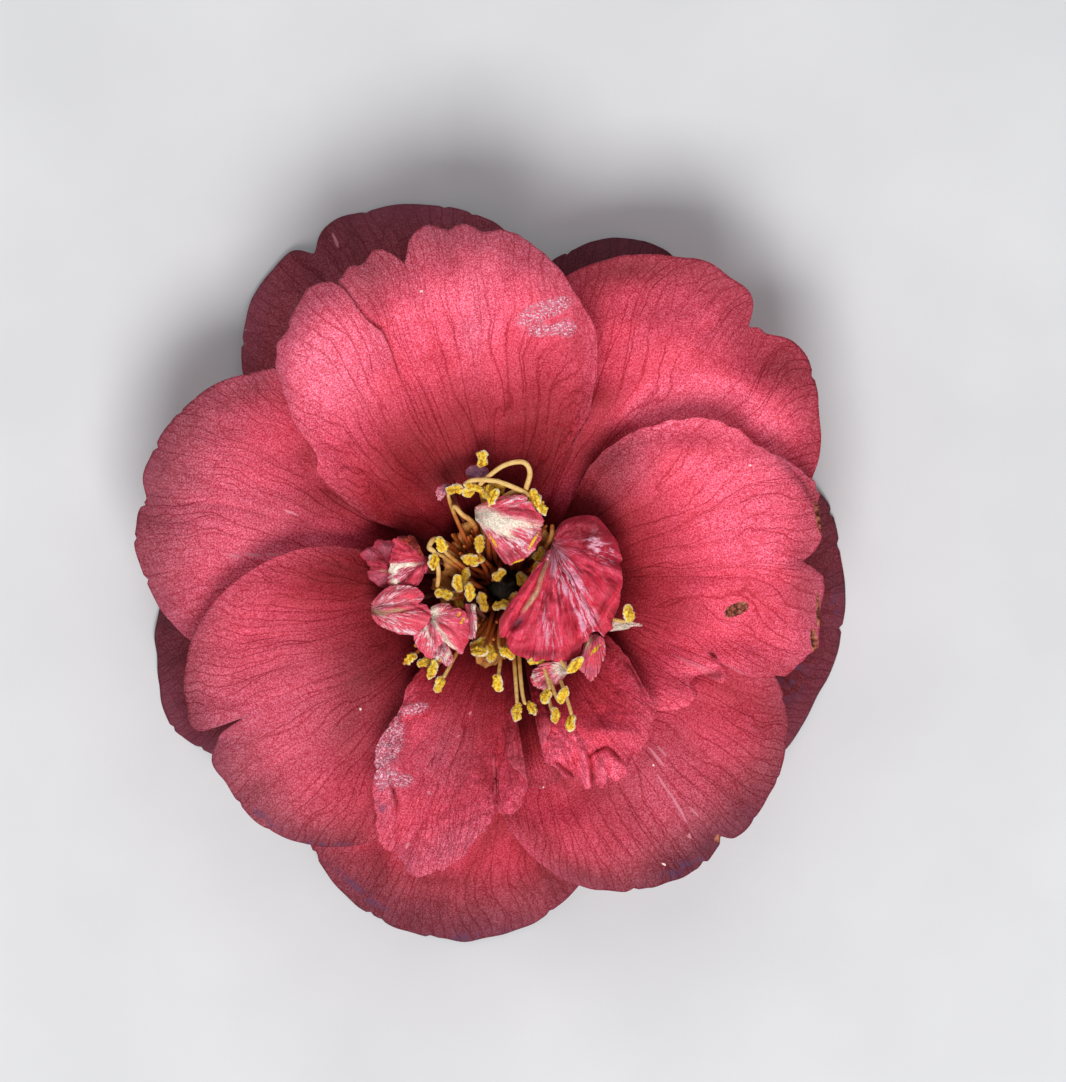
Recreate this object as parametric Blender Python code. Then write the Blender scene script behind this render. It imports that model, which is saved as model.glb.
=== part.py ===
"""A semi-double camellia flower lying on its back: petals, petaloids, stamens, pistil and calyx.

Built in millimetres round the flower's own axis, with the face of the flower looking up +Z, and
written out in metres. The last step moves everything so that the bounding box stands on z = 0
with its centre on the Z axis. Every petal is a thin closed sheet whose plan outline is a rounded
blade running back to a narrow claw, laid on a bowl shaped height curve. Each row of petals has
its own curve, so one row always passes clear above the row below it.
"""

import bpy
import bmesh
import numpy as np
from mathutils import Vector

MM = 0.001

# Petal sheets, millimetres
PETAL_THICK = 0.60
RIM_THICK = 0.38
PETAL_ROWS = 8
PETAL_COLUMNS = 15
CLAW_HALF_WIDTH = 2.6

# Height curve of each row: claw radius, claw height, rise, length the rise takes, droop at 50 mm
ROWS = {
    "back": dict(root=7.9, foot=8.5, rise=7.0, run=8.0, droop=0.0),
    "middle": dict(root=6.9, foot=10.0, rise=14.5, run=9.0, droop=1.5),
    "front": dict(root=5.8, foot=11.5, rise=20.0, run=10.5, droop=1.5),
    "under": dict(root=5.1, foot=12.2, rise=19.6, run=10.0, droop=1.0),
    "inner": dict(root=5.0, foot=13.5, rise=21.5, run=9.5, droop=1.0),
    "sepal": dict(root=3.6, foot=4.5, rise=5.5, run=8.0, droop=0.0),
}

# Each petal: row, blade centre, half length and half width, squareness of the blade outline,
# lift of the whole petal, lean to one side, cup of the sides, ruffle (size, waves, phase) and
# bumps of the margin (angle from the tip, size, width; a negative size is a notch)
PETALS = {
    "petal_back_top_left": dict(row="back", centre=(-14.5, 31.5), size=(22.6, 22.8), square=2.0,
                                lift=0.8, lean=-0.6, cup=0.6, ruffle=(0.5, 2.5, 0.4),
                                bumps=[(12, -1.4, 7), (44, 0.7, 14)]),
    "petal_back_top": dict(row="back", centre=(13.0, 30.5), size=(19.8, 15.5), square=1.9,
                           lift=-1.2, lean=0.4, cup=0.4, ruffle=(0.3, 2.0, 1.0), bumps=[]),
    "petal_back_right": dict(row="back", centre=(26.0, -3.0), size=(22.0, 23.5), square=2.1,
                             lift=0.6, lean=0.5, cup=0.5, ruffle=(0.5, 3.0, 2.0),
                             bumps=[(42, -0.8, 12), (-25, -0.6, 10)]),
    "petal_back_left": dict(row="back", centre=(-29.0, -7.0), size=(20.5, 19.0), square=2.1,
                            lift=-0.1, lean=0.3, cup=0.4, ruffle=(0.4, 2.5, 2.8), bumps=[]),
    "petal_back_bottom": dict(row="back", centre=(-6.8, -27.5), size=(22.3, 22.3), square=2.1,
                              lift=-1.4, lean=0.4, cup=0.5, ruffle=(0.5, 3.0, 0.9), bumps=[]),
    "petal_middle_upper_right": dict(row="middle", centre=(21.5, 24.2), size=(21.0, 23.5), square=2.1,
                                     lift=0.0, lean=-0.8, cup=0.8, ruffle=(0.9, 3.2, 0.5),
                                     bumps=[(-5, -2.8, 8), (-25, 0.7, 12), (22, 1.0, 18)]),
    "petal_middle_left": dict(row="middle", centre=(-31.0, 9.5), size=(20.8, 21.2), square=2.1,
                              lift=0.0, lean=0.5, cup=0.6, ruffle=(0.6, 2.8, 1.9),
                              bumps=[(8, -1.3, 5)]),
    "petal_middle_lower_right": dict(row="middle", centre=(19.0, -22.5), size=(18.5, 21.5), square=2.1,
                                     lift=0.0, lean=-0.4, cup=0.6, ruffle=(0.7, 3.0, 2.6),
                                     bumps=[(2, -1.3, 6)]),
    "petal_front_top": dict(row="front", centre=(-9.4, 30.0), size=(20.4, 21.8), square=2.1,
                            lift=0.0, lean=0.6, cup=1.0, ruffle=(0.7, 3.0, 1.2),
                            bumps=[(0, -4.0, 7), (32, -9.5, 4)]),
    "petal_front_right": dict(row="front", centre=(26.0, 4.0), size=(18.3, 19.5), square=2.3,
                              lift=0.0, lean=0.5, cup=0.8, ruffle=(0.9, 3.4, 0.2),
                              bumps=[(-12, -1.0, 8), (-85, -4.0, 9)]),
    "petal_front_left": dict(row="front", centre=(-24.3, -15.2), size=(19.8, 21.0), square=2.15,
                             lift=0.0, lean=-0.3, cup=0.7, ruffle=(0.7, 3.0, 2.2),
                             bumps=[(-14, -7.6, 4), (6, -0.9, 8)]),
    "petal_under_bottom": dict(row="under", centre=(3.2, -18.5), size=(9.6, 8.0), claw=1.8, square=2.0,
                               lift=0.0, lean=0.0, cup=0.4, ruffle=(0.3, 2.5, 0.0), bumps=[]),
    "petal_inner_bottom": dict(row="inner", centre=(-9.0, -27.5), size=(12.6, 9.0), claw=1.8, square=2.1,
                               lift=0.0, lean=0.4, cup=1.2, ruffle=(0.8, 3.5, 0.8),
                               bumps=[(52, -2.0, 10), (78, 3.4, 13), (112, -1.2, 10)]),
    "petal_inner_lower_right": dict(row="inner", centre=(12.5, -17.0), size=(11.0, 9.0), claw=1.8,
                                    square=2.1, lift=0.0, lean=-0.4, cup=1.0, ruffle=(0.9, 4.0, 1.5),
                                    bumps=[(10, -1.2, 9), (-25, -1.2, 9)]),
}
BLADE_SWEEP = 140.0
LIFT_RUN = 5.0
TIP_HEIGHT = 0.5

SEPAL_COUNT = 5
SEPAL_REACH = 9.2
SEPAL_HALF = 5.2
SEPAL_THICK = 0.8
SEPAL_STEP = 1.0

# Turned parts: (radius, height) of the outline from the bottom of the axis to the top
RECEPTACLE = [(2.1, 0.7), (2.0, 3.0), (2.9, 4.4), (3.0, 5.3), (5.8, 6.8), (7.3, 8.0), (6.8, 9.4),
              (5.6, 11.0), (4.6, 12.4), (4.3, 13.7)]
PISTIL = [(2.0, 14.0), (2.1, 15.2), (1.5, 16.8), (0.6, 18.2), (0.5, 22.0), (0.9, 22.6)]
COLUMN_INNER = 2.5
COLUMN_OUTER = 4.4
COLUMN_FOOT = 14.0
COLUMN_TOP = 17.0
TURN_STEPS = 20

# Petaloids: path from foot to tip as four guide points, plan direction across the blade in degrees,
# largest half width, where along the path it lies, half width of the end, fold of the section in
# radians and crinkle (size, waves)
PETALOIDS = {
    "petaloid_hood": dict(
        path=[(4.4, 2.9, 17.5), (10.0, 9.0, 26.0), (17.0, 17.0, 40.0), (3.4, -9.6, 32.5)],
        across=-27, half=7.0, wide=0.84, end=4.0, fold=0.5, crinkle=(0.35, 2.0)),
    "petaloid_cream": dict(
        path=[(-3.0, 4.2, 17.5), (-5.2, 8.6, 24.0), (-5.2, 13.8, 35.0), (4.4, 6.3, 33.6)],
        across=65, half=4.3, wide=0.72, end=2.4, fold=0.7, crinkle=(0.25, 2.0)),
    "petaloid_left_outer": dict(
        path=[(-5.0, 1.6, 17.5), (-9.0, 2.0, 21.0), (-14.0, 2.8, 28.0), (-20.2, 4.4, 30.0)],
        across=88, half=3.0, wide=0.75, end=1.4, fold=0.6, crinkle=(0.25, 2.0)),
    "petaloid_left_inner": dict(
        path=[(-4.2, 3.2, 17.5), (-8.0, 5.2, 21.0), (-13.0, 7.5, 32.5), (-15.6, 2.6, 33.0)],
        across=112, half=3.2, wide=0.78, end=1.4, fold=0.8, crinkle=(0.25, 2.0)),
    "petaloid_left_folded": dict(
        path=[(-5.3, 0.1, 17.5), (-9.0, -1.4, 24.0), (-12.0, -2.2, 31.0), (-18.6, -2.9, 29.6)],
        across=95, half=3.4, wide=0.66, end=1.0, fold=1.1, crinkle=(0.2, 2.0)),
    "petaloid_streaked": dict(
        path=[(-5.0, -1.8, 17.5), (-7.2, -2.4, 24.0), (-8.5, -1.6, 32.5), (-9.2, -10.2, 31.0)],
        across=8, half=3.5, wide=0.76, end=2.0, fold=0.6, crinkle=(0.3, 2.0)),
    "petaloid_sliver": dict(
        path=[(-2.0, -4.9, 17.5), (-3.2, -6.0, 23.0), (-4.6, -3.4, 31.0), (-4.5, -6.8, 30.8)],
        across=0, half=0.9, wide=0.7, end=0.4, fold=0.4, crinkle=(0.1, 2.0)),
    "petaloid_pale": dict(
        path=[(2.6, -4.6, 17.5), (4.4, -7.0, 23.5), (8.8, -9.6, 29.2), (5.0, -13.8, 29.9)],
        across=-35, half=2.2, wide=0.75, end=1.2, fold=0.5, crinkle=(0.2, 2.0)),
    "petaloid_right": dict(
        path=[(4.8, -2.2, 17.5), (9.0, -4.4, 25.0), (13.6, -5.0, 32.5), (12.0, -12.6, 32.0)],
        across=10, half=2.2, wide=0.75, end=1.0, fold=0.7, crinkle=(0.2, 2.0)),
    "petaloid_white": dict(
        path=[(5.2, -0.2, 17.5), (8.6, -1.2, 22.0), (13.0, -4.0, 29.0), (19.4, -5.2, 31.0)],
        across=80, half=0.9, wide=0.7, end=0.3, fold=0.4, crinkle=(0.1, 2.0)),
}
PETALOID_THICK = 0.45
PETALOID_FOOT = 0.8
PETALOID_ROWS = 10
PETALOID_COLUMNS = 7

# Stamens: place and height of the anther, the way it points in the plan, and the angle and
# radius at which its filament leaves the ring
FILAMENT_RADIUS = 0.30
ANTHER_RADIUS = 0.75
ANTHER_LENGTH = 2.3
STAMEN_FOOT = 17.3
STAMENS = [
    (-8.7, -0.8, 30.0, 150, -172, 3.9), (-4.9, -0.7, 30.0, 280, -174, 2.9),
    (-11.5, -10.4, 28.8, 195, -157, 3.6), (-9.2, -13.6, 31.8, 240, -146, 3.9),
    (-3.9, -7.8, 27.6, 220, -122, 2.9), (-0.7, -2.4, 25.5, 200, -80, 2.9),
    (-2.0, -9.2, 28.2, 275, -105, 3.9), (-1.0, -13.4, 31.4, 265, -87, 3.9),
    (1.7, -17.4, 34.0, 270, -78, 3.9), (3.9, -16.8, 34.2, 330, -64, 3.9),
    (5.6, -15.2, 35.0, 240, -55, 3.9), (9.2, -18.9, 35.6, 265, -24, 3.9),
    (17.2, -3.4, 34.0, 80, -6, 3.9), (4.8, 4.8, 27.5, 70, 30, 2.9),
    (4.3, 12.0, 32.0, 300, 58, 3.9), (-1.0, 13.8, 29.6, 60, 78, 3.9),
    (-3.2, 18.2, 31.0, 80, 97, 3.9), (-0.7, 2.0, 26.0, 40, 90, 2.9),
    (-8.0, 13.6, 31.0, 70, 152, 4.1), (-3.5, 6.4, 28.5, 80, 118, 2.9),
    (-5.0, 4.1, 28.0, 170, 146, 2.9), (-9.0, 6.2, 31.5, 120, 159, 3.9),
    (-5.6, 1.6, 26.5, 60, 166, 2.9), (-10.1, 3.6, 32.0, 250, 174, 3.9),
]
STAMEN_STEPS = 7
STAMEN_SIDES = 6

COLOURS = {
    "petal_rose": (0.60, 0.07, 0.11, 1.0),
    "petaloid_rose": (0.62, 0.10, 0.14, 1.0),
    "stamen_gold": (0.80, 0.50, 0.05, 1.0),
    "calyx_green": (0.22, 0.20, 0.08, 1.0),
    "pistil_green": (0.45, 0.50, 0.18, 1.0),
}


def unit(vectors):
    """Vectors scaled to length one."""
    return vectors / np.maximum(np.linalg.norm(vectors, axis=-1, keepdims=True), 1e-12)


def material(name):
    """A plain Principled material for one object."""
    mat = bpy.data.materials.new(name)
    mat.use_nodes = True
    shader = mat.node_tree.nodes["Principled BSDF"]
    shader.inputs["Base Color"].default_value = COLOURS[name.split("-")[0]]
    shader.inputs["Roughness"].default_value = 0.55
    return mat


def make_object(name, points, faces, colour):
    """One named mesh object from points in millimetres, facing out and shaded smooth."""
    mesh = bpy.data.meshes.new(name)
    mesh.from_pydata((np.asarray(points) * MM).tolist(), [], faces)
    net = bmesh.new()
    net.from_mesh(mesh)
    bmesh.ops.triangulate(net, faces=net.faces)
    bmesh.ops.recalc_face_normals(net, faces=net.faces)
    if net.calc_volume(signed=True) < 0:
        bmesh.ops.reverse_faces(net, faces=net.faces)
    net.to_mesh(mesh)
    net.free()
    mesh.shade_smooth()
    mesh.materials.append(material(f"{colour}-{name}"))
    obj = bpy.data.objects.new(name, mesh)
    bpy.data.collections["camellia_flower"].objects.link(obj)
    return obj


def sheet(name, mid, thick, colour):
    """A closed sheet round a grid of middle points; thick is the thickness at each point."""
    rows, columns = mid.shape[:2]
    along = np.gradient(mid, axis=0)
    across = np.gradient(mid, axis=1)
    normal = unit(np.cross(along, across))
    half = thick[..., None] / 2
    points = np.concatenate([(mid + normal * half).reshape(-1, 3), (mid - normal * half).reshape(-1, 3)])
    under = rows * columns
    faces = []
    for i in range(rows - 1):
        for j in range(columns - 1):
            a, b = i * columns + j, i * columns + j + 1
            c, d = b + columns, a + columns
            faces.append((a, b, c, d))
            faces.append((d + under, c + under, b + under, a + under))
    rim = [j for j in range(columns)]
    rim += [i * columns + columns - 1 for i in range(1, rows)]
    rim += [(rows - 1) * columns + j for j in range(columns - 2, -1, -1)]
    rim += [i * columns for i in range(rows - 2, 0, -1)]
    for k, a in enumerate(rim):
        b = rim[(k + 1) % len(rim)]
        faces.append((b, a, a + under, b + under))
    return make_object(name, points, faces, colour)


def blade_axes(petal):
    """Centre of the blade and the unit directions along and across it in the plan."""
    centre = np.array(petal["centre"], float)
    along = unit(centre)
    return centre, along, np.array([-along[1], along[0]])


def blade_margin(petal, v):
    """Plan points of the petal's margin for v from -1 to 1, round the blade from side to side."""
    centre, along, across = blade_axes(petal)
    angle = np.radians(BLADE_SWEEP) * v
    half_length, half_width = petal["size"]
    power = petal["square"]
    ahead = np.abs(np.cos(angle) / half_length) ** power
    aside = np.abs(np.sin(angle) / half_width) ** power
    reach = (ahead + aside) ** (-1 / power)
    for place, size, width in petal["bumps"]:
        reach = reach + size * np.exp(-(np.abs(np.degrees(angle) - place) / width) ** 1.6)
    return centre + (reach * np.cos(angle))[:, None] * along + (reach * np.sin(angle))[:, None] * across


def petal_columns(petal):
    """Column places v: evenly spread, with extra ones at the bottom of each notch."""
    places = np.linspace(-1, 1, PETAL_COLUMNS)
    for place, size, width in petal["bumps"]:
        mark = place / BLADE_SWEEP
        flank = 1.2 * width / BLADE_SWEEP
        places = places[np.abs(places - mark) > flank * 1.25]
        places = np.append(places, [mark - flank, mark, mark + flank])
    return np.sort(places)


def height_curve(petal, radius):
    """Height of the petal's row at a radius from the axis: a quick rise, then a slow droop.

    Petals of the back row droop until the tip of the blade stands just above the floor.
    """
    row = ROWS[petal["row"]]
    out = radius - row["root"]
    climb = row["foot"] + row["rise"] * (1 - np.exp(-out / row["run"]))
    climb = climb + petal["lift"] * (1 - np.exp(-np.maximum(out, 0) / LIFT_RUN))
    if petal["row"] != "back":
        return climb - row["droop"] * (radius / 50) ** 3
    tip = np.hypot(*petal["centre"]) + petal["size"][0]
    return climb - (row["foot"] + row["rise"] + petal["lift"] - TIP_HEIGHT) * (radius / tip) ** 3


def petal_grid(petal, u, v):
    """Middle points of a petal sheet over u from claw to margin and v from side to side.

    Straight plan lines fan from the claw to the margin, and bumps and notches of the margin fade
    out towards the claw. The height is the row's curve plus the petal's own lean, cup and ruffle,
    which grow with the share s of the plain blade length from nothing at the claw.
    """
    row = ROWS[petal["row"]]
    _, along, across = blade_axes(petal)
    claw = along * row["root"] + (petal.get("claw", CLAW_HALF_WIDTH) * v)[:, None] * across
    plain = blade_margin(dict(petal, bumps=[]), v) - claw
    length = np.linalg.norm(plain, axis=1)
    share = ((blade_margin(petal, v) - claw) * plain).sum(axis=1) / length ** 2
    s = u[:, None] * (1 + (share[None] - 1) * u[:, None])
    plan = claw[None] + s[..., None] * plain[None]
    radius = np.linalg.norm(plan, axis=-1)
    vv = v[None]
    size, waves, phase = petal["ruffle"]
    own = petal["lean"] * vv * s + petal["cup"] * (vv ** 2 - 0.3) * s ** 2
    own = own + size * np.sin(waves * np.pi * vv + phase) * s ** 3
    return np.concatenate([plan, (height_curve(petal, radius) + own)[..., None]], axis=-1)


def make_petal(name, petal, thick, rim, rows, colour):
    """One petal as a closed sheet, thinner at the margin than at the claw."""
    u = np.linspace(0, 1, rows) ** 1.1
    v = petal_columns(petal)
    grid = petal_grid(petal, u, v)
    taper = thick + (rim - thick) * u ** 2
    return sheet(name, grid, np.repeat(taper[:, None], len(v), axis=1), colour)


def make_sepals():
    """Overlapping sepals round the foot of the flower, alternately a little lower."""
    for k in range(SEPAL_COUNT):
        angle = np.radians(90 + 360 * k / SEPAL_COUNT)
        step = -SEPAL_STEP * (k % 2) - (SEPAL_STEP * 0.5 if k == SEPAL_COUNT - 1 else 0)
        sepal = dict(row="sepal", centre=(SEPAL_REACH * np.cos(angle), SEPAL_REACH * np.sin(angle)),
                     size=(SEPAL_HALF, SEPAL_HALF), square=2.0, lift=step, lean=0.0, cup=0.3,
                     ruffle=(0.0, 1.0, 0.0), bumps=[], claw=1.6)
        make_petal(f"sepal_{k + 1}", sepal, SEPAL_THICK, 0.5, 5, "calyx_green")


def turned(name, outline, colour):
    """A solid turned round the axis from (radius, height) outline points, closed at both ends."""
    angles = np.arange(TURN_STEPS) * 2 * np.pi / TURN_STEPS
    points = [(0, 0, outline[0][1])]
    for radius, height in outline:
        points += [(radius * np.cos(a), radius * np.sin(a), height) for a in angles]
    points.append((0, 0, outline[-1][1]))
    last = len(points) - 1
    faces = []
    for k in range(TURN_STEPS):
        n = (k + 1) % TURN_STEPS
        faces.append((0, 1 + n, 1 + k))
        for i in range(len(outline) - 1):
            a, b = 1 + i * TURN_STEPS, 1 + (i + 1) * TURN_STEPS
            faces.append((a + k, a + n, b + n, b + k))
        top = 1 + (len(outline) - 1) * TURN_STEPS
        faces.append((last, top + k, top + n))
    return make_object(name, points, faces, colour)


def make_column():
    """The short ring in which the filaments are joined at their feet."""
    ring = [(COLUMN_INNER, COLUMN_FOOT), (COLUMN_OUTER, COLUMN_FOOT), (COLUMN_OUTER, COLUMN_TOP),
            (COLUMN_INNER, COLUMN_TOP)]
    angles = np.arange(TURN_STEPS) * 2 * np.pi / TURN_STEPS
    points = [(r * np.cos(a), r * np.sin(a), z) for r, z in ring for a in angles]
    faces = []
    for i in range(4):
        a, b = i * TURN_STEPS, (i + 1) % 4 * TURN_STEPS
        for k in range(TURN_STEPS):
            n = (k + 1) % TURN_STEPS
            faces.append((a + k, a + n, b + n, b + k))
    return make_object("staminal_column", points, faces, "stamen_gold")


def bezier(points, t):
    """Points of the cubic curve guided by four points, at the places t from 0 to 1."""
    a, b, c, d = (np.array(p, float) for p in points)
    t = np.asarray(t)[:, None]
    return a * (1 - t) ** 3 + 3 * b * t * (1 - t) ** 2 + 3 * c * t ** 2 * (1 - t) + d * t ** 3


def petaloid_width(spec, u):
    """Half width along the path: a smooth swell up to the widest place, then a rounded end."""
    rise = np.clip(u / spec["wide"], 0, 1)
    rise = rise * rise * (3 - 2 * rise)
    past = np.clip((u - spec["wide"]) / (1 - spec["wide"]), 0, 1)
    closing = np.sqrt(1 - past ** 2 * (1 - (spec["end"] / spec["half"]) ** 2))
    return (PETALOID_FOOT + (spec["half"] - PETALOID_FOOT) * rise) * closing


def petaloid_grid(spec, u, v):
    """Middle points of a petaloid: a strip along its path, wide near the end and folded.

    The section is an arc that turns through the fold angle on each side, with small crinkles.
    """
    path = bezier(spec["path"], u)
    tangent = unit(np.gradient(path, u, axis=0))
    way = np.radians(spec["across"])
    across = np.array([np.cos(way), np.sin(way), 0.0])
    across = unit(across - tangent * (tangent @ across)[:, None])
    lift = unit(np.cross(across, tangent))
    half = petaloid_width(spec, u)
    turn = spec["fold"] * v
    side = np.sin(turn) / spec["fold"]
    rise = (np.cos(turn) - 1) / spec["fold"]
    size, waves = spec["crinkle"]
    ripple = size * np.sin(waves * np.pi * v[None] + 5 * u[:, None]) * (half / spec["half"])[:, None]
    level = half[:, None] * rise[None] + ripple
    out = half[:, None] * side[None]
    return path[:, None] + out[..., None] * across[:, None] + level[..., None] * lift[:, None]


def make_petaloid(name, spec):
    """One petaloid as a closed sheet."""
    u = np.linspace(0, 1, PETALOID_ROWS)
    v = np.linspace(-1, 1, PETALOID_COLUMNS)
    grid = petaloid_grid(spec, u, v)
    return sheet(name, grid, np.full(grid.shape[:2], PETALOID_THICK), "petaloid_rose")


def sweep(name, path, radii, sides, colour):
    """A closed round rod along a path with its own radius at each path point."""
    tangent = unit(np.gradient(path, axis=0))
    first = np.cross(tangent[0], (0.0, 1.0, 0.2))
    points = [path[0]]
    for centre, way, radius in zip(path, tangent, radii):
        first = unit(first - way * (first @ way))
        second = np.cross(way, first)
        for k in range(sides):
            a = 2 * np.pi * k / sides
            points.append(centre + radius * (first * np.cos(a) + second * np.sin(a)))
    points.append(path[-1])
    last = len(points) - 1
    faces = []
    for k in range(sides):
        n = (k + 1) % sides
        faces.append((0, 1 + n, 1 + k))
        for i in range(len(path) - 1):
            a, b = 1 + i * sides, 1 + (i + 1) * sides
            faces.append((a + k, a + n, b + n, b + k))
        faces.append((last, last - sides + k, last - sides + n))
    return make_object(name, points, faces, colour)


def stamen_path(x, y, height, way, foot_way, ring):
    """Centre line of a filament up to its anther, and the direction the anther points."""
    foot_way, way = np.radians(foot_way), np.radians(way)
    foot = np.array([ring * np.cos(foot_way), ring * np.sin(foot_way), STAMEN_FOOT])
    point = np.array([np.cos(way), np.sin(way), 0.25])
    start = np.array([x, y, height]) - point * ANTHER_LENGTH * 0.5
    rise = foot + np.array([0, 0, 0.55 * (height - STAMEN_FOOT)])
    bend = start - point * 1.0 + np.array([0, 0, -1.5])
    return bezier([foot, rise, bend, start], np.linspace(0, 1, STAMEN_STEPS)), point


def make_stamens():
    """Filaments rising from the ring, each swelling into its anther at the top."""
    for k, stamen in enumerate(STAMENS):
        stem, point = stamen_path(*stamen)
        anther = stem[-1] + point * ANTHER_LENGTH * np.array([[0.25], [0.6], [0.9]])
        head = [ANTHER_RADIUS, ANTHER_RADIUS * 0.95, ANTHER_RADIUS * 0.45]
        radii = [FILAMENT_RADIUS] * STAMEN_STEPS + head
        sweep(f"stamen_{k + 1:02d}", np.concatenate([stem, anther]), radii, STAMEN_SIDES, "stamen_gold")


def stand_on_floor():
    """Moves every object so the bounding box stands on z = 0 with its centre on the Z axis."""
    objects = bpy.data.collections["camellia_flower"].objects
    corners = np.array([obj.matrix_world @ v.co for obj in objects for v in obj.data.vertices])
    low, high = corners.min(axis=0), corners.max(axis=0)
    shift = Vector((-(low[0] + high[0]) / 2, -(low[1] + high[1]) / 2, -low[2]))
    for obj in objects:
        for vertex in obj.data.vertices:
            vertex.co += shift


def build():
    """Makes the collection and every part of the flower."""
    for obj in list(bpy.data.objects):
        bpy.data.objects.remove(obj)
    bpy.context.scene.collection.children.link(bpy.data.collections.new("camellia_flower"))
    for name, petal in PETALS.items():
        make_petal(name, petal, PETAL_THICK, RIM_THICK, PETAL_ROWS, "petal_rose")
    for name, spec in PETALOIDS.items():
        make_petaloid(name, spec)
    make_sepals()
    turned("receptacle", RECEPTACLE, "calyx_green")
    turned("pistil", PISTIL, "pistil_green")
    make_column()
    make_stamens()
    stand_on_floor()


build()
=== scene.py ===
import bpy
import numpy as np
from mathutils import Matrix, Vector


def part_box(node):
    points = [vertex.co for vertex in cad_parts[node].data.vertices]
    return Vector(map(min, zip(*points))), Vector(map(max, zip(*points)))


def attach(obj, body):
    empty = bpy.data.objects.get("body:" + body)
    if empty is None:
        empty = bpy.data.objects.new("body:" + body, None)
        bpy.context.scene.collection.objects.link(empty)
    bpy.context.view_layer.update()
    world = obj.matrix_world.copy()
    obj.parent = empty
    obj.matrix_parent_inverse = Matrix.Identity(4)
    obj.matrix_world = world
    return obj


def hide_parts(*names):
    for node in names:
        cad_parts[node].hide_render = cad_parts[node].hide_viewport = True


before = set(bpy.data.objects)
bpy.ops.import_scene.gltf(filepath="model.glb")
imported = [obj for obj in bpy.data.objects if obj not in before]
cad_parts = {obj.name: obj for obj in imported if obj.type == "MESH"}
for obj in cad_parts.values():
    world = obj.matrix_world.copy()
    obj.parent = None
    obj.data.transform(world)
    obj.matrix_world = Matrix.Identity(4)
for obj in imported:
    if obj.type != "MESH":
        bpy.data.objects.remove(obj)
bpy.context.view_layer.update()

# The flower is worked out in millimetres round its own axis, with heights counted as in the
# solids: the stub of stalk stands at 0.7 mm. The axis is the middle of the receptacle.
STALK_FOOT = 0.7
stub_low, stub_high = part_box("receptacle")
AXIS = np.array([(stub_low.x + stub_high.x) / 2, (stub_low.y + stub_high.y) / 2,
                 stub_low.z - STALK_FOOT / 1000])

# Seeds of whatever is uneven: that of the first petal, sepal and petaloid, with a step from each
# to the next, then one for all the stamens and one for the strands in the heart.
PETAL_SEED = 3
SEPAL_SEED = 300
PETALOID_SEED = 400
SEED_STEP = 10
STAMEN_SEED = 77
STRAND_SEED = 91

# ------------------------------------------------------------ sizes of the petals, in mm

# Thickness of a petal at its claw and at its rim, the degrees that its margin sweeps round to
# each side, the length over which its own lift is reached, the height where the tips of the back
# row end and the least height of any point, the waver of an outline and the frill of a margin.
PETAL_THICK = 0.55
PETAL_RIM = 0.16
BLADE_SWEEP = 140.0
LIFT_RUN = 5.0
TIP_HEIGHT = 0.5
FLOOR_GAP = 0.48
OUTLINE_WAVER = 0.11
FRILL = 0.09

# The slow unevenness that all petals share, as height, size and seed of each of its fields, and
# how much higher the two ruffled petals of the inner row stand outwards.
SHARED_WAVES = ((0.30, 13.0, 5), (0.10, 5.5, 6))
INNER_LIFT = 1.0

# Tone of a petal, which deepens towards the heart partly as the petal's own colour and partly as
# painted shade deep in the flower: the radius up to which it has its heart's, the length over
# which it fades to its rim's, and the deepest there is.
HEART_RADIUS = 8
RIM_FADE = 14
DEEPEST = 0.12

# How many rows and columns of points a petal has, and one with a fold, and over how many of its
# columns a folded outline is rounded to find how they would run without the slit.
PETAL_COUNT = (76, 180)
FOLDED_COUNT = (96, 290)
SLIT_ROUNDING = 26.0

# Each row of petals: claw radius, claw height, rise, length the rise takes, and droop at 50 mm.
ROWS = {
    "back": dict(root=7.9, foot=8.5, rise=7, run=8, droop=0),
    "middle": dict(root=6.9, foot=10, rise=14.5, run=9, droop=1.5),
    "front": dict(root=5.8, foot=11.5, rise=20, run=10.5, droop=1.5),
    "under": dict(root=5.1, foot=12.2, rise=19.6, run=10, droop=1),
    "inner": dict(root=5, foot=13.5, rise=21.5, run=9.5, droop=1),
    "sepal": dict(root=3.6, foot=4.5, rise=5.5, run=8, droop=0),
}

# What a petal has unless its own entry says otherwise.
PLAIN_PETAL = dict(square=2.1, lift=0.0, lean=0.0, bumps=[], claw=2.6, dust=1.0)
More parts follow.
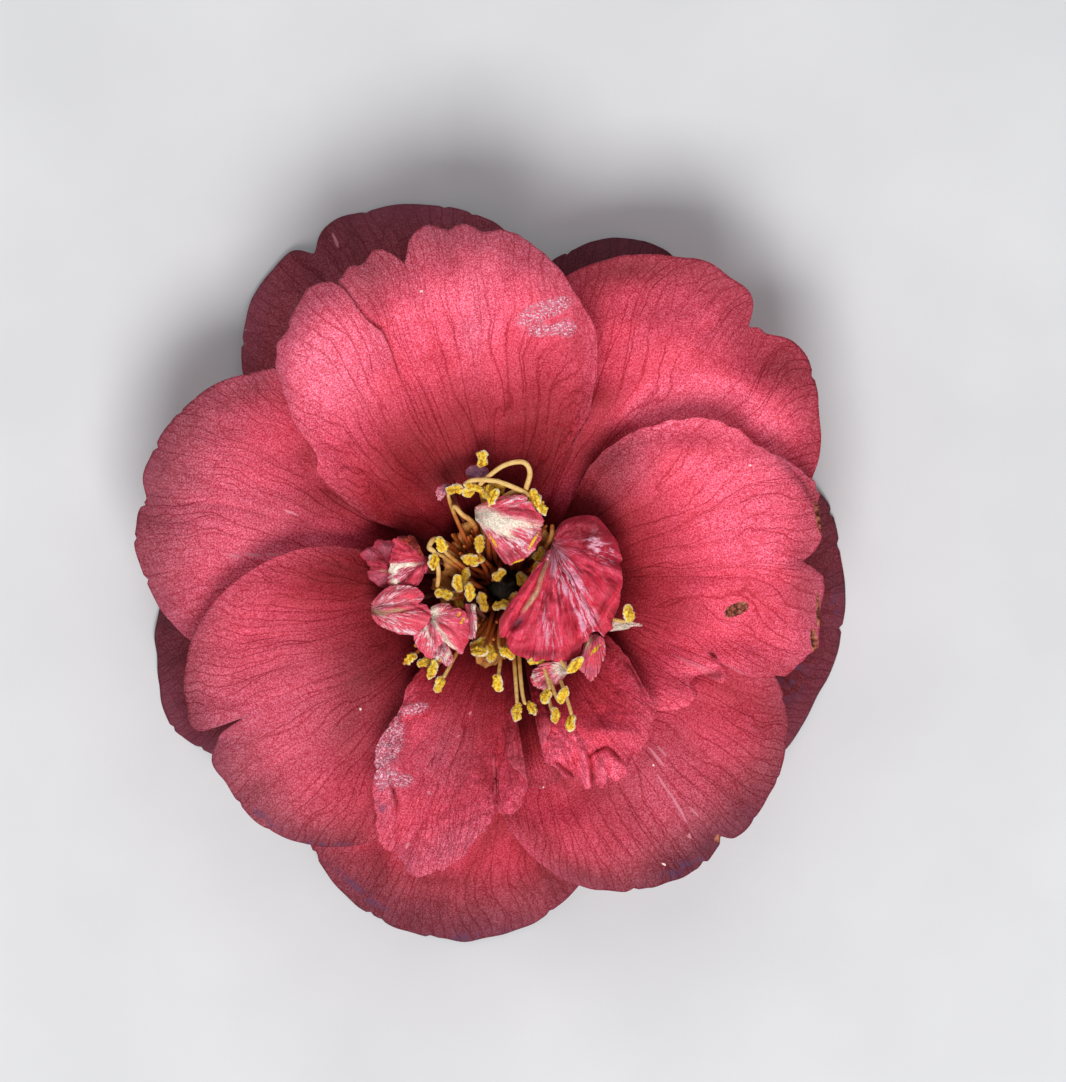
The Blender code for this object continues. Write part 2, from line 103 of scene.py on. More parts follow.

# Each petal: its row, the centre and half sizes of its blade, how square the outline is, then
# its own lift, lean, cup and ruffle, and the bumps of its margin as (degrees, size, width), or
# the outline itself as plan points from one side of the claw round to the other. claw is half
# the width there. fold lists places counted in outline points with heights, by which one side of
# a slit slips under the other. tone gives the redness of its heart, blade and rim out of 255, the
# radius where the blade's tone is reached and the radius from which it fades to the rim's. dust
# is how dusty its outer part is.
# The tones hold painted shade: they are lower for the back petals, which lie further down, and deeper
# towards the heart, besides the petals' own deeper colour at the base.
PETALS = {
    "petal_back_top_left": dict(
        row="back", centre=(-14.5, 31.5), size=(22.6, 22.8), square=2, lift=0.8, lean=-0.6, cup=0.6,
        ruffle=(0.5, 2.5, 0.4), bumps=[(13, -2.4, 4), (44, 0.7, 14), (-60, 1.7, 20)],
        tone=(80, 128, 112, 40, 50)),
    "petal_back_top": dict(
        row="back", centre=(13, 30.5), size=(19.8, 15.5), square=1.9, lift=-1.2, lean=0.4, cup=0.4,
        ruffle=(0.3, 2, 1), tone=(60, 84, 66, 40, 46)),
    "petal_back_right": dict(
        row="back", centre=(26, -3), size=(22, 23.5), lift=0.6, lean=0.5, cup=0.5, ruffle=(0.5, 3, 2),
        bumps=[(46, 1.9, 16), (-25, -0.6, 10), (-54, 1.4, 12)], tone=(76, 114, 92, 40, 46)),
    "petal_back_left": dict(
        row="back", centre=(-29, -7), size=(20.5, 19), lift=-0.1, lean=0.3, cup=0.4,
        ruffle=(0.4, 2.5, 2.8), bumps=[(22, 2, 17)], tone=(70, 98, 78, 40, 46)),
    "petal_back_bottom": dict(
        row="back", centre=(-6.8, -27.5), size=(22.3, 22.3), lift=-1.4, lean=0.4, cup=0.5,
        ruffle=(0.5, 3, 0.9), tone=(90, 204, 118, 34, 37)),
    "petal_middle_upper_right": dict(
        row="middle", centre=(21.5, 24.2), size=(21, 23.5), lean=-0.8, cup=0.8, ruffle=(0.9, 3.2, 0.5),
        bumps=[(-3.5, -2.2, 3), (-10, -2.4, 7), (-27, 0.9, 12), (22, 1, 18)],
        tone=(109, 236, 172, 40, 38), dust=0.45),
    "petal_middle_left": dict(
        row="middle", centre=(-31, 9.5), size=(20.8, 21.2), lean=0.5, cup=0.6, ruffle=(0.6, 2.8, 1.9),
        bumps=[(8, -1.3, 5)], tone=(72, 222, 130, 39, 41)),
    "petal_middle_lower_right": dict(
        row="middle", centre=(19, -22.5), size=(18.5, 21.5), lean=-0.4, cup=0.6, ruffle=(0.7, 3, 2.6),
        bumps=[(2, -1.3, 2.2), (-2, -0.8, 6)], tone=(90, 204, 104, 28, 37)),
    "petal_front_top": dict(
        row="front", centre=(-9.4, 30), size=(20.4, 21.8), lean=0.6, cup=1, ruffle=(0.7, 3, 1.2),
        tone=(88, 252, 150, 40, 40), fold=[(28, 0), (36.8, -1.4), (40, 0.7), (44, 0.6), (53, 0)],
        outline=[
            (1.5, 8.5), (4, 13), (5.8, 17), (7.6, 19.2), (10, 21.5), (11.6, 24), (12.3, 26.5),
            (12.8, 29.5), (13, 32.5), (12.7, 35.5), (11.9, 38), (10.7, 40), (9.6, 41.9), (8, 44),
            (6, 46.3), (4, 48.1), (1.9, 49.4), (0, 50), (-2, 49.9), (-3.8, 50.2), (-5, 50.8),
            (-6.5, 50.7), (-8, 50.1), (-9.2, 50.6), (-10.5, 50.9), (-12, 50.3), (-13.2, 49),
            (-13.7, 47.4), (-14.2, 45.6), (-15, 46.4), (-16.4, 47), (-17.7, 47.4), (-18.9, 46.9),
            (-19.6, 45.7), (-20.3, 45.2), (-21.7, 44.9), (-22.7, 43.8), (-23.2, 42.6), (-21.9, 40.4),
            (-20, 38), (-17.4, 36), (-18.2, 36.5), (-19.2, 37.4), (-20.8, 39.4), (-22.1, 41.3),
            (-23.3, 42.4), (-24.6, 42.9), (-26, 42.8), (-27.6, 41.7), (-29.2, 39.5), (-30.2, 37.2),
            (-30.9, 35.6), (-31.8, 33.8), (-31.9, 31.5), (-31.6, 29), (-30.9, 27), (-30.2, 25),
            (-29.2, 23), (-28, 21.3), (-26.9, 19.5), (-26.3, 17.6), (-26.2, 16.2), (-24.9, 14.8),
            (-23.6, 13.2), (-21.8, 11.6), (-19.6, 10.1), (-15, 8.6), (-9, 7), (-5.4, 5.6)]),
    "petal_front_right": dict(
        row="front", centre=(26, 4), size=(18.3, 19.5), square=2.3, lean=0.5, cup=0.8,
        ruffle=(0.9, 3.4, 0.2), tone=(82, 250, 160, 33, 37),
        fold=[(13, 0), (19, -1), (20, -0.7), (24, 0.6), (28, 0.4), (34, 0)],
        outline=[
            (6.6, -2.4), (9.5, -6.5), (13, -11.5), (17, -15.2), (19.6, -16.6), (22.2, -17.1), (24, -17),
            (25.5, -16.5), (26.5, -15.6), (26.8, -14.8), (26.2, -14), (25.7, -13.3), (26.6, -12.5),
            (28.2, -11.9), (29.3, -11.7), (29.9, -12.1), (30.1, -13.1), (30.8, -12.9), (30.9, -11.5),
            (30.2, -10.6), (29, -9.3), (30, -9.8), (31.4, -10.6), (32.8, -11.4), (34, -12.3),
            (35.2, -12.6), (36.6, -12.3), (38.3, -12.3), (39.8, -11.9), (41, -10.8), (42.1, -9.8),
            (43.3, -8.8), (43.9, -7.6), (44, -5), (44.3, -2.5), (44.6, 0.2), (44.4, 1.6), (43.4, 2.7),
            (42.2, 3.4), (41.7, 3.8), (42.5, 4.4), (43.6, 5.6), (44.3, 7), (44.3, 8.8), (44, 10.4),
            (43.8, 11.6), (43.9, 13), (43.4, 14.5), (42.3, 15.8), (41.2, 16.8), (40.2, 17.5),
            (38.5, 18.3), (36.8, 19.2), (35, 20.2), (33.8, 21.4), (32.2, 22.4), (30, 23.4), (27.5, 23.8),
            (25, 23.7), (22.5, 23.3), (19.5, 22.5), (17, 21.4), (14.5, 19.8), (12.5, 17.8), (11.2, 16),
            (10, 13.4), (8.6, 10), (6.4, 5.6)]),
    "petal_front_left": dict(
        row="front", centre=(-24.3, -15.2), size=(19.8, 21), square=2.15, lean=-0.3, cup=0.7,
        ruffle=(0.7, 3, 2.2), bumps=[(-14, -5.6, 1.5), (-10.5, -3, 5), (6, -0.9, 8)],
        tone=(84, 212, 128, 36, 37)),
    "petal_under_bottom": dict(
        row="under", centre=(3.2, -18.5), size=(9.6, 8), claw=1.8, square=2, cup=0.4,
        ruffle=(0.3, 2.5, 0), tone=(60, 168, 168, 30, 60)),
    "petal_inner_bottom": dict(
        row="inner", centre=(-9, -27.5), size=(12.6, 9), claw=1.8, lean=0.4, cup=1, ruffle=(0.6, 3, 0.8),
        tone=(142, 212, 216, 33, 37),
        fold=[(26, 0), (31, 0.5), (33.5, 0.5), (35.5, -0.7), (40, 0.1), (44, 0)],
        outline=[
            (-7, -8), (-10.8, -10.6), (-12.2, -11.8), (-13.3, -13.2), (-14, -15), (-14.8, -17.4),
            (-15.5, -18.3), (-16.9, -20.2), (-17.9, -22), (-18.3, -24), (-17.9, -25.4), (-18.5, -27),
            (-18.4, -28.8), (-18, -30.6), (-18, -32.6), (-17.7, -34.6), (-17.1, -36.1), (-16.1, -36.9),
            (-15.3, -36.6), (-14.9, -37.5), (-14, -38.6), (-13.6, -39.7), (-12.5, -40.1), (-10.8, -40),
            (-9.5, -39.4), (-8.4, -39.3), (-7.3, -38.4), (-5.8, -37.5), (-4.8, -35.8), (-3.6, -34.4),
            (-2.4, -33.4), (-1.8, -31.8), (-1.5, -30.2), (-1.5, -29.2), (-2.1, -28), (-1.5, -29.6),
            (-1.2, -30.7), (-0.7, -31.4), (0.1, -31.6), (1.2, -31.2), (2.3, -30.2), (2.8, -29),
            (3, -27.5), (2.6, -26.2), (1.7, -25.3), (0.7, -24.6), (0.5, -23.8), (0.9, -21.8),
            (1.5, -19.5), (1.9, -17), (1.5, -10.5)]),
    "petal_inner_lower_right": dict(
        row="inner", centre=(12.5, -17), size=(11, 9), claw=1.8, lean=-0.4, cup=1, ruffle=(0.6, 3, 1.5),
        tone=(120, 206, 200, 29, 60), fold=[(7, 0), (13, 0.6), (15, 0.3), (17, 0), (60, 0)],
        outline=[
            (3.4, -9), (4.4, -13), (5.6, -17), (6.4, -19.4), (5.9, -21.2), (5.3, -22.4), (5.5, -23.5),
            (6, -24.4), (6.9, -24.7), (7.5, -25.4), (8.2, -26.3), (9.3, -26.8), (10.4, -26.8),
            (10.8, -27.6), (11.3, -28.2), (12.1, -27.8), (12.2, -27), (12.6, -26.8), (13.1, -27.6),
            (13.7, -27.9), (14.1, -27.2), (14.3, -26.3), (14.9, -26.5), (15.5, -27), (16.6, -26.4),
            (17.4, -25.4), (17.7, -24.3), (18.3, -23.3), (19.3, -22.4), (19.9, -21.4), (20.3, -20.2),
            (20.5, -18.9), (20.9, -17.9), (21.1, -16.8), (20.4, -15.3), (19, -13.2), (17.6, -10.6),
            (16.3, -8.6), (14.4, -6.6), (11, -4.5)]),
}

# Marks the petals carry, as ellipses: the middle as x and y from the axis, half the length, half
# the width and the turn in degrees.
# Worn patches are partly scuffs and partly painted glare: the pale flecked patches on the front top petal
# and along the inner bottom petal's left margin stand for glossy highlights as well as wear.
WORN_AND_GLARE = {
    "petal_front_top": [
        (4.4, 38.4, 3, 1.3, 22), (7.2, 39.5, 2, 0.9, 20), (6, 36, 2.6, 0.7, 8), (8.7, 36.4, 1.1, 1.2, 0)],
    "petal_inner_bottom": [
        (-15.6, -21.2, 1.3, 3, -14), (-17.4, -24.6, 0.7, 3.2, 2), (-16.4, -26.4, 1.6, 1, 0),
        (-12.6, -16.9, 1.7, 0.7, 12), (-14, -27, 1.2, 0.8, 0)],
}
BURNT = {
    "petal_front_right": [
        (32.4, -3, 2.1, 1, 24), (43.9, 9.6, 3, 0.45, 102), (43.2, -7.4, 2, 0.5, 98),
        (43.8, -3, 3, 0.28, 92)],
    "petal_middle_lower_right": [(29.8, -35.2, 0.7, 0.5, 40)],
}
BRUISED = {
    "petal_back_right": [(40, -13, 3.5, 2.5, 60), (44.5, -18, 2.5, 1.2, 60), (46.5, -3, 2, 0.8, 80)],
    "petal_middle_lower_right": [(25.4, -38.9, 4.4, 0.7, 28), (21.6, -41.2, 2, 0.5, 25)],
    "petal_back_bottom": [(-3, -49.6, 9, 0.7, 2), (10.5, -46, 7, 0.7, 28), (-20, -43.4, 6, 0.6, -40)],
    "petal_front_left": [(-33.4, -32.6, 5, 0.5, -42), (-24, -36, 7, 0.4, -4)],
    "petal_inner_bottom": [(-17.2, -29.6, 0.6, 2.4, 0)],
}
PALE = {
    "petal_middle_lower_right": [
        (21.2, -23.7, 2, 0.22, -50), (22, -23, 1.4, 0.18, -52), (22.4, -27.8, 2.4, 0.16, -56),
        (24.6, -31.2, 2.2, 0.2, -60), (26.5, -31.4, 1, 0.16, -50), (25.9, -34.8, 0.7, 0.14, -70)],
    "petal_middle_left": [(-35, 4.6, 6, 0.2, 2), (-30, 10.6, 1.6, 0.2, -20)],
    "petal_back_top_left": [(-24, 49, 1.6, 0.2, -70)],
    "petal_inner_bottom": [
        (-10.5, -28.7, 0.55, 0.13, -50), (-13.6, -36.1, 0.6, 0.18, 75), (-13.4, -35.8, 0.4, 0.16, 10),
        (-4.9, -17.6, 0.3, 0.25, 0), (-6.6, -20.8, 0.35, 0.2, 0)],
}
DUSTY = {
    "petal_front_top": [(-4.5, 37, 2, 6, 0), (-24, 29, 6, 7, 0)],
    "petal_front_right": [(17, 17, 3.6, 6, -40)],
    "petal_front_left": [(-30, -18, 13, 12, 0)],
    "petal_middle_lower_right": [(22, -28, 9, 9, 0)],
    "petal_middle_left": [(-36, 8, 10, 12, 0)],
    "petal_inner_bottom": [(-16.2, -25, 1.8, 8, -4), (-8, -36, 6, 3, 20), (-9, -24, 5, 6, 0)],
}

MARKS = dict(worn_and_glare=WORN_AND_GLARE, burnt=BURNT, bruised=BRUISED, pale=PALE)

# Patches of painted light and shade on the petals: painted shadows of the petals above and in
# folds and slits, and painted light where shade falls too deep; the same ellipses, then the change
# of tone.
PAINTED_LIGHT_AND_SHADE = {
    "petal_back_top_left": [(-33, 35.6, 7, 7, 0, 0.1)],
    "petal_front_top": [
        (-18, 43.4, 3.4, 3.6, 0, -0.11), (-18, 39, 2, 3.2, 35, -0.12), (-24, 33, 4, 6, 40, 0.04),
        (6, 27, 5, 7, 0, -0.1), (-6.7, 25, 6, 3, 0, -0.06), (-13.8, 19.7, 5, 4, -30, -0.08),
        (10.8, 37.5, 3, 7, 14, -0.18), (-31.5, 27, 3, 5, 10, -0.14), (13, 26, 3, 3, 0, -0.08),
        (7.4, 12.9, 5, 3, 0, 0.16), (5.6, 42, 3, 4, 0, -0.1), (-10.2, 10.5, 4, 2.6, 0, 0.14)],
    "petal_front_right": [
        (26.5, 20.6, 6, 1.8, -3, -0.14), (37, -1, 6, 2.2, -12, -0.12), (28.2, -12.4, 2.4, 0.6, 12, -0.25),
        (35, -8, 6, 3, -20, -0.08), (24, 1.6, 12, 1.4, 0, -0.06), (15.8, 19, 4.4, 2.4, 38, -0.22),
        (42.6, 13.6, 2.2, 0.8, -58, -0.15), (24.6, -14.6, 3, 2.4, 0, -0.1),
        (29.2, -9.5, 0.7, 0.3, -40, -0.6), (35, -12.6, 6, 4, -10, -0.12), (38.5, -13.5, 4, 3, 0, -0.12),
        (41.6, 2, 2.6, 6, 0, -0.16), (12.5, 9, 3.5, 3.5, 0, -0.06), (24.4, -3.9, 4, 3, 0, -0.11)],
    "petal_middle_lower_right": [
        (27, -37, 9, 3, 32, -0.1), (36, -15.5, 6, 4, 0, -0.08), (14, -32, 5, 3, 0, -0.05),
        (3.4, -33.8, 5, 1.8, -46, -0.12), (10.4, -40, 5, 2, -30, -0.1), (13, -28.8, 5, 1.4, 4, -0.08),
        (19.8, -24.4, 0.8, 3.2, -42, -0.08), (7.4, -26.6, 2.4, 0.9, -35, -0.14)],
    "petal_middle_upper_right": [
        (24, 37, 10, 4, -30, -0.06), (22, 25, 7, 2.4, 6, 0.32), (31, 25.6, 6.5, 3, -6, 0.24),
        (38, 21.2, 3.6, 3.6, 0, 0.17), (24.4, 39.6, 7, 4, 0, 0.14), (14, 26.6, 4, 2.6, 0, -0.16),
        (12.9, 39, 2.4, 5.5, 0, -0.16), (25, 26.6, 6, 2.6, 0, 0.24), (27.9, 35.6, 6, 4, 0, 0.1),
        (27.5, 21, 7, 2, -3, -0.24), (11.4, 12.6, 4, 3.4, 0, 0.26), (7.4, 12.9, 5, 4, 0, 0.2),
        (17, 44.4, 6, 1.8, 5, -0.16)],
    "petal_middle_left": [
        (-24, 6.4, 6.5, 3.6, 10, 0.34), (-24.8, 12.4, 5, 2.6, 0, -0.12), (-35.2, 3.8, 4.6, 2.6, 10, 0.12),
        (-27.8, 19, 3, 2.4, 50, -0.13), (-35.4, 28.2, 3, 1.6, 35, -0.14), (-24, 1.8, 8, 2.4, 4, -0.24),
        (-32, 26.5, 4.5, 3.5, 0, -0.13)],
    "petal_front_left": [
        (-25.5, 2, 6.5, 2.6, 4, -0.14), (-40.5, -15.7, 3, 4, 0, 0.12), (-20.8, -12, 4, 4, 0, -0.1),
        (-22.3, -21, 4, 5, 0, -0.12), (-26, -15.5, 3, 3, 0, 0.05), (-20.4, -32.6, 4.5, 5, 0, -0.14),
        (-24, -36.8, 6, 2.4, -8, -0.2)],
    "petal_back_bottom": [
        (-10, -41.2, 7, 1, -4, -0.07), (-3.2, -37, 1.2, 4.4, -35, -0.1), (4.6, -37.6, 7, 2.4, -46, -0.2),
        (6, -42.4, 5, 2, -10, -0.08), (-17.6, -38.6, 1.2, 2.6, 10, -0.1)],
    "petal_under_bottom": [(4.8, -25.6, 2.4, 2.2, 0, 0.14)],
    "petal_inner_bottom": [
        (-13.4, -17.5, 2.6, 5.5, 15, 0.12), (-2.4, -26.6, 1, 2.4, 20, -0.12), (-3, -17, 3, 6, 0, -0.04),
        (-15.6, -28.6, 0.3, 2.6, 14, -0.18), (-6, -26, 2.2, 5, -25, -0.06)],
    "petal_inner_lower_right": [
        (11, -21, 4.4, 2.6, 0, 0.14), (12.4, -23, 2.2, 0.4, 22, -0.22), (11.8, -24.4, 1.4, 1.4, 0, 0.22),
        (15.4, -23.3, 1.6, 0.35, -46, -0.2), (7.8, -21.8, 2.4, 2.6, 0, 0.34),
        (14.2, -25.4, 2, 1.9, 0, 0.32), (11.2, -25.4, 0.5, 2.6, 8, 0.26),
        (8.4, -25.6, 1.6, 0.25, -40, -0.22), (14.5, -10.6, 2, 1.2, -50, 0.12),
        (17.4, -13.6, 1.6, 1, -30, 0.14), (11.9, -25.6, 0.25, 1.8, 12, -0.3)],
}

# Swellings and hollows in the petals: the same ellipses, then the height in mm.
SWELLS = {
    "petal_front_top": [(-24.4, 38.6, 2.6, 4.5, 30, 0.6), (-11.6, 48.4, 2.4, 3.4, 0, 0.6)],
    "petal_front_right": [
        (28.6, -12, 2.2, 0.9, 12, -0.9), (23.6, -14.6, 3.2, 2.4, -20, 0.9),
        (34.6, -10.4, 4, 1.8, -15, 0.7), (34.8, 20, 2.4, 2, -40, -0.8), (39.5, 15.6, 4, 1.2, -55, 0.7),
        (38, -3, 6, 2, -10, -0.7), (38, 4.5, 5, 2.4, 5, 0.5)],
    "petal_middle_upper_right": [
        (37, 33, 2.6, 3.6, -40, -0.8), (40.5, 29, 3, 3, 0, 0.6), (27, 23, 16, 12, -5, 2.6)],
    "petal_middle_left": [(-37, 1, 10, 8, 0, 1.8)],
    "petal_front_left": [(-40, -17, 3, 1.2, 0, 0.5), (-40, -21, 3, 1.2, 0, -0.5)],
    "petal_inner_bottom": [
        (1, -28, 1.8, 2.8, 0, 1.3), (-16.2, -22.4, 1.6, 3.8, -10, 0.9), (-12.6, -16.8, 2.4, 1.6, 20, 0.9),
        (-13.2, -28.6, 1.8, 3, -10, 0.5), (-6, -33, 4.5, 4.5, 20, 0.7), (-7, -26, 2.4, 5, -20, -0.5),
        (-16.6, -33, 1.4, 3.4, 0, 0.3)],
    "petal_inner_lower_right": [
        (7.8, -23, 2.2, 2.2, -20, 1.8), (14.2, -25.2, 2, 2.4, 10, 1.7), (14.4, -20.2, 3.4, 1.5, -8, 1.3),
        (12.6, -23.6, 1.6, 0.9, 30, -0.8), (17.4, -19.6, 2.2, 3, 10, 0.7), (15, -11, 2.4, 1.2, -50, 0.6),
        (17.4, -13.8, 1.6, 1.2, -30, 0.5), (11.2, -25.6, 0.7, 2.8, 10, 1.6)],
}

# Creases pressed into the petals: start, end, depth and half width.
CREASES = {
    "petal_front_top": [
        ((-26, 17), (-19, 16.4), -0.3, 0.3), ((-25, 15.4), (-19.8, 18.4), -0.25, 0.25),
        ((-24.6, 19.6), (-19.6, 20.4), -0.2, 0.25), ((5.6, 26), (11.9, 23.4), -0.25, 0.25),
        ((4.5, 23), (10.6, 21.4), -0.25, 0.25), ((7, 28.5), (12.3, 26.6), -0.2, 0.25),
        ((6, 21), (9, 20.6), -0.2, 0.25), ((-17.4, 36), (-15, 35.4), -0.4, 0.3)],
    "petal_front_right": [
        ((26.6, -15.6), (25.2, -12.2), 0.7, 0.6), ((30.4, -13.2), (30.6, -10.8), 0.8, 0.35),
        ((21, -6), (27, -9.6), -0.3, 0.7), ((17, 22.5), (20.5, 17.5), -0.4, 0.35),
        ((39.6, 17.4), (43.6, 11.4), -0.7, 0.3), ((40.6, 18), (44.4, 12.4), 0.6, 0.4),
        ((33.4, 21.6), (38, 18), 0.8, 0.45), ((41.6, 3.6), (24, 2), -0.45, 0.8)],
    "petal_front_left": [((-27, -7), (-40, -5), -0.3, 0.6)],
    "petal_middle_upper_right": [((22, 36), (17, 24), -0.3, 0.8), ((38, 25), (30, 22), 0.3, 0.9)],
    "petal_middle_left": [((-48, 12), (-30, 9), -0.35, 0.6)],
    "petal_inner_bottom": [
        ((-5, -18), (-9.4, -27), -0.35, 0.3), ((-8.8, -26), (-13.4, -35.4), -0.3, 0.3),
        ((-9.6, -19), (-12.6, -24), 0.25, 0.6), ((-1.4, -24.4), (-2, -28.6), -0.7, 0.35),
        ((-16.4, -25.2), (-15.6, -28.6), -0.6, 0.25), ((-15.8, -27.6), (-14.9, -31.4), -1, 0.25),
        ((-15, -31), (-15.2, -36.6), -0.5, 0.3), ((-14.6, -17.2), (-15, -19.6), -0.6, 0.3),
        ((-17.6, -24.6), (-14.6, -26), -0.35, 0.3), ((-16.4, -20), (-15.6, -24), -0.35, 0.25),
        ((-14, -18.6), (-10.6, -18.2), -0.35, 0.4), ((0.4, -25), (-0.6, -30.6), -0.3, 0.3),
        ((-3, -27), (-6, -25.6), -0.3, 0.35), ((-8.6, -33), (-8.2, -38.6), -0.25, 0.3)],
    "petal_inner_lower_right": [
        ((8.8, -19.8), (11, -23.2), 0.8, 0.5), ((10.8, -22.6), (11.7, -28), 1, 0.4),
        ((11.6, -23), (12.3, -27.4), -1.3, 0.3), ((11.6, -23.6), (14.6, -22), -1.2, 0.28),
        ((14.2, -22.1), (16.4, -24.2), -0.8, 0.28), ((6.8, -24), (9.8, -26.4), -0.9, 0.22),
        ((6.4, -24.7), (9.6, -26.9), 0.5, 0.25), ((13.2, -23.4), (13.6, -27.6), 0.5, 0.4),
        ((14.4, -24), (14.3, -26.8), -0.7, 0.25), ((18, -22), (16.8, -24.8), -0.7, 0.25),
        ((16.4, -9.8), (19.4, -14.8), -0.7, 0.25), ((15, -15.6), (18.4, -19.2), -0.4, 0.3),
        ((16, -14.6), (20, -17.6), 0.35, 0.35), ((12, -20), (18.8, -20.8), 0.3, 0.3),
        ((13, -18.4), (19, -18), 0.25, 0.3), ((11, -15), (14, -19.4), -0.3, 0.3),
        ((7.6, -20.6), (9, -25), -0.3, 0.35)],
}


def unit(vectors):
    """Vectors scaled to length one."""
    return vectors / np.maximum(np.linalg.norm(vectors, axis=-1, keepdims=True), 1e-12)


def smooth(x, a, b):
    """0 up to a, 1 from b on, and an even S-curve between."""
    t = np.clip((x - a) / (b - a), 0, 1)
    return t * t * (3 - 2 * t)


def wander(x, y, size, seed, waves=14):
    """A gentle uneven field of about unit height: plain waves about size millimetres long that
    cross in seeded directions with seeded phases."""
    rng = np.random.default_rng(seed)
    total = 0.0
    for _ in range(waves):
        way, phase = rng.uniform(0, 2 * np.pi, 2)
        pitch = 2 * np.pi / (size * rng.uniform(0.7, 1.5))
        total = total + np.sin(pitch * (x * np.cos(way) + y * np.sin(way)) + phase)
    return total / np.sqrt(waves / 2)


def spot(x, y, ellipse):
    """1 at the middle of an ellipse (x, y, half length, half width, degrees), fading outwards
    as a bell curve of the distance counted in half sizes."""
    cx, cy, long_half, short_half, turn = ellipse
    c, s = np.cos(np.radians(turn)), np.sin(np.radians(turn))
    along = ((x - cx) * c + (y - cy) * s) / long_half
    across = ((y - cy) * c - (x - cx) * s) / short_half
    return np.exp(-(along ** 2 + across ** 2))


def spots(x, y, ellipses):
    """The sum of several spots."""
    return sum((spot(x, y, ellipse) for ellipse in ellipses), 0 * x)


def weighed(x, y, entries):
    """The sum of several spots, each times the amount that ends its entry."""
    return sum((amount * spot(x, y, ellipse) for *ellipse, amount in entries), 0 * x)


def crumpled(x, y, size, seed):
    """An uneven field of sharp ridges, 1 along them."""
    return 1 - 2 * np.abs(wander(x, y, size, seed))


def groove(x, y, crease):
    """Depth of a crease: a bell curve of the distance to its line, faded in and out along it."""
    (x1, y1), (x2, y2), depth, width = crease
    way = np.array([x2 - x1, y2 - y1])
    length = np.hypot(*way)
    t = ((x - x1) * way[0] + (y - y1) * way[1]) / length ** 2
    bow = 0.06 * length * np.sin(np.pi * np.clip(t, 0, 1))
    side = ((y - y1) * way[0] - (x - x1) * way[1]) / length - bow
    return depth * np.exp(-(side / width) ** 2) * smooth(t, -0.1, 0.25) * (1 - smooth(t, 0.75, 1.1))


def through(points, t):
    """A smooth curve through points, t from 0 to 1: between each two the cubic that passes each
    point along the line between its neighbours."""
    points = np.asarray(points, float)
    padded = np.concatenate([[2 * points[0] - points[1]], points, [2 * points[-1] - points[-2]]])
    place = np.clip(np.asarray(t, float), 0, 1) * (len(points) - 1)
    k = np.minimum(place.astype(int), len(points) - 2)
    f = (place - k)[..., None]
    a, b, c, d = (padded[k + i] for i in range(4))
    square, cube = 2 * a - 5 * b + 4 * c - d, 3 * b - a - 3 * c + d
    return b + 0.5 * ((c - a) * f + square * f ** 2 + cube * f ** 3)


def bezier(points, t):
    """Points of the cubic curve guided by four points, at the places t from 0 to 1."""
    a, b, c, d = (np.array(p, float) for p in points)
    t = np.asarray(t)[:, None]
    return a * (1 - t) ** 3 + 3 * b * t * (1 - t) ** 2 + 3 * c * t ** 2 * (1 - t) + d * t ** 3


# ------------------------------------------------------------ meshes


def to_frame(points):
    """Points in millimetres round the flower's axis, as metres in the row frame."""
    return AXIS + points * 0.001


def body(points, quads, tris=None, uv=None, **marks):
    """A closed surface: points, faces, a texture place for each point and named marks. Faces
    are turned round if they look inwards, which makes the signed volume negative."""
    quads = np.asarray(quads)
    tris = np.zeros((0, 3), int) if tris is None else np.asarray(tris)
    parted = np.concatenate([quads[:, [0, 1, 2]], quads[:, [0, 2, 3]], tris])
    corners = points[parted] - points.mean(axis=0)
    if (np.cross(corners[:, 0], corners[:, 1]) * corners[:, 2]).sum() < 0:
        quads, tris = quads[:, ::-1], tris[:, ::-1]
    uv = np.zeros((len(points), 2)) if uv is None else uv
    marks = {name: np.broadcast_to(value, len(points)) for name, value in marks.items()}
    return dict(points=points, quads=quads, tris=tris, uv=uv, marks=marks)


def joined(bodies):
    """Several closed surfaces that carry the same marks, as one."""
    starts = np.cumsum([0] + [len(b["points"]) for b in bodies])
    return dict(points=np.concatenate([b["points"] for b in bodies]),
                quads=np.concatenate([b["quads"] + n for b, n in zip(bodies, starts)]),
                tris=np.concatenate([b["tris"] + n for b, n in zip(bodies, starts)]),
                uv=np.concatenate([b["uv"] for b in bodies]),
                marks={m: np.concatenate([b["marks"][m] for b in bodies]) for m in bodies[0]["marks"]})


def make_piece(name, shape, finish, nodes=()):
    """One finished piece of the flower, smooth shaded, riding on the flower's one body."""
    mesh = bpy.data.meshes.new(name)
    faces = shape["quads"].tolist() + shape["tris"].tolist()
    mesh.from_pydata(to_frame(shape["points"]).tolist(), [], faces)
    corner = np.zeros(len(mesh.loops), np.int32)
    mesh.loops.foreach_get("vertex_index", corner)
    layer = mesh.uv_layers.new(name="fan")
    layer.data.foreach_set("uv", shape["uv"].astype(np.float32)[corner].ravel())
    for mark, values in shape["marks"].items():
        attribute = mesh.attributes.new(mark, "FLOAT", "POINT")
        attribute.data.foreach_set("value", values.astype(np.float32))
    mesh.shade_smooth()
    mesh.materials.append(finish)
    piece = bpy.data.objects.new(name, mesh)
    bpy.context.scene.collection.objects.link(piece)
    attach(piece, "root")
    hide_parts(*nodes)


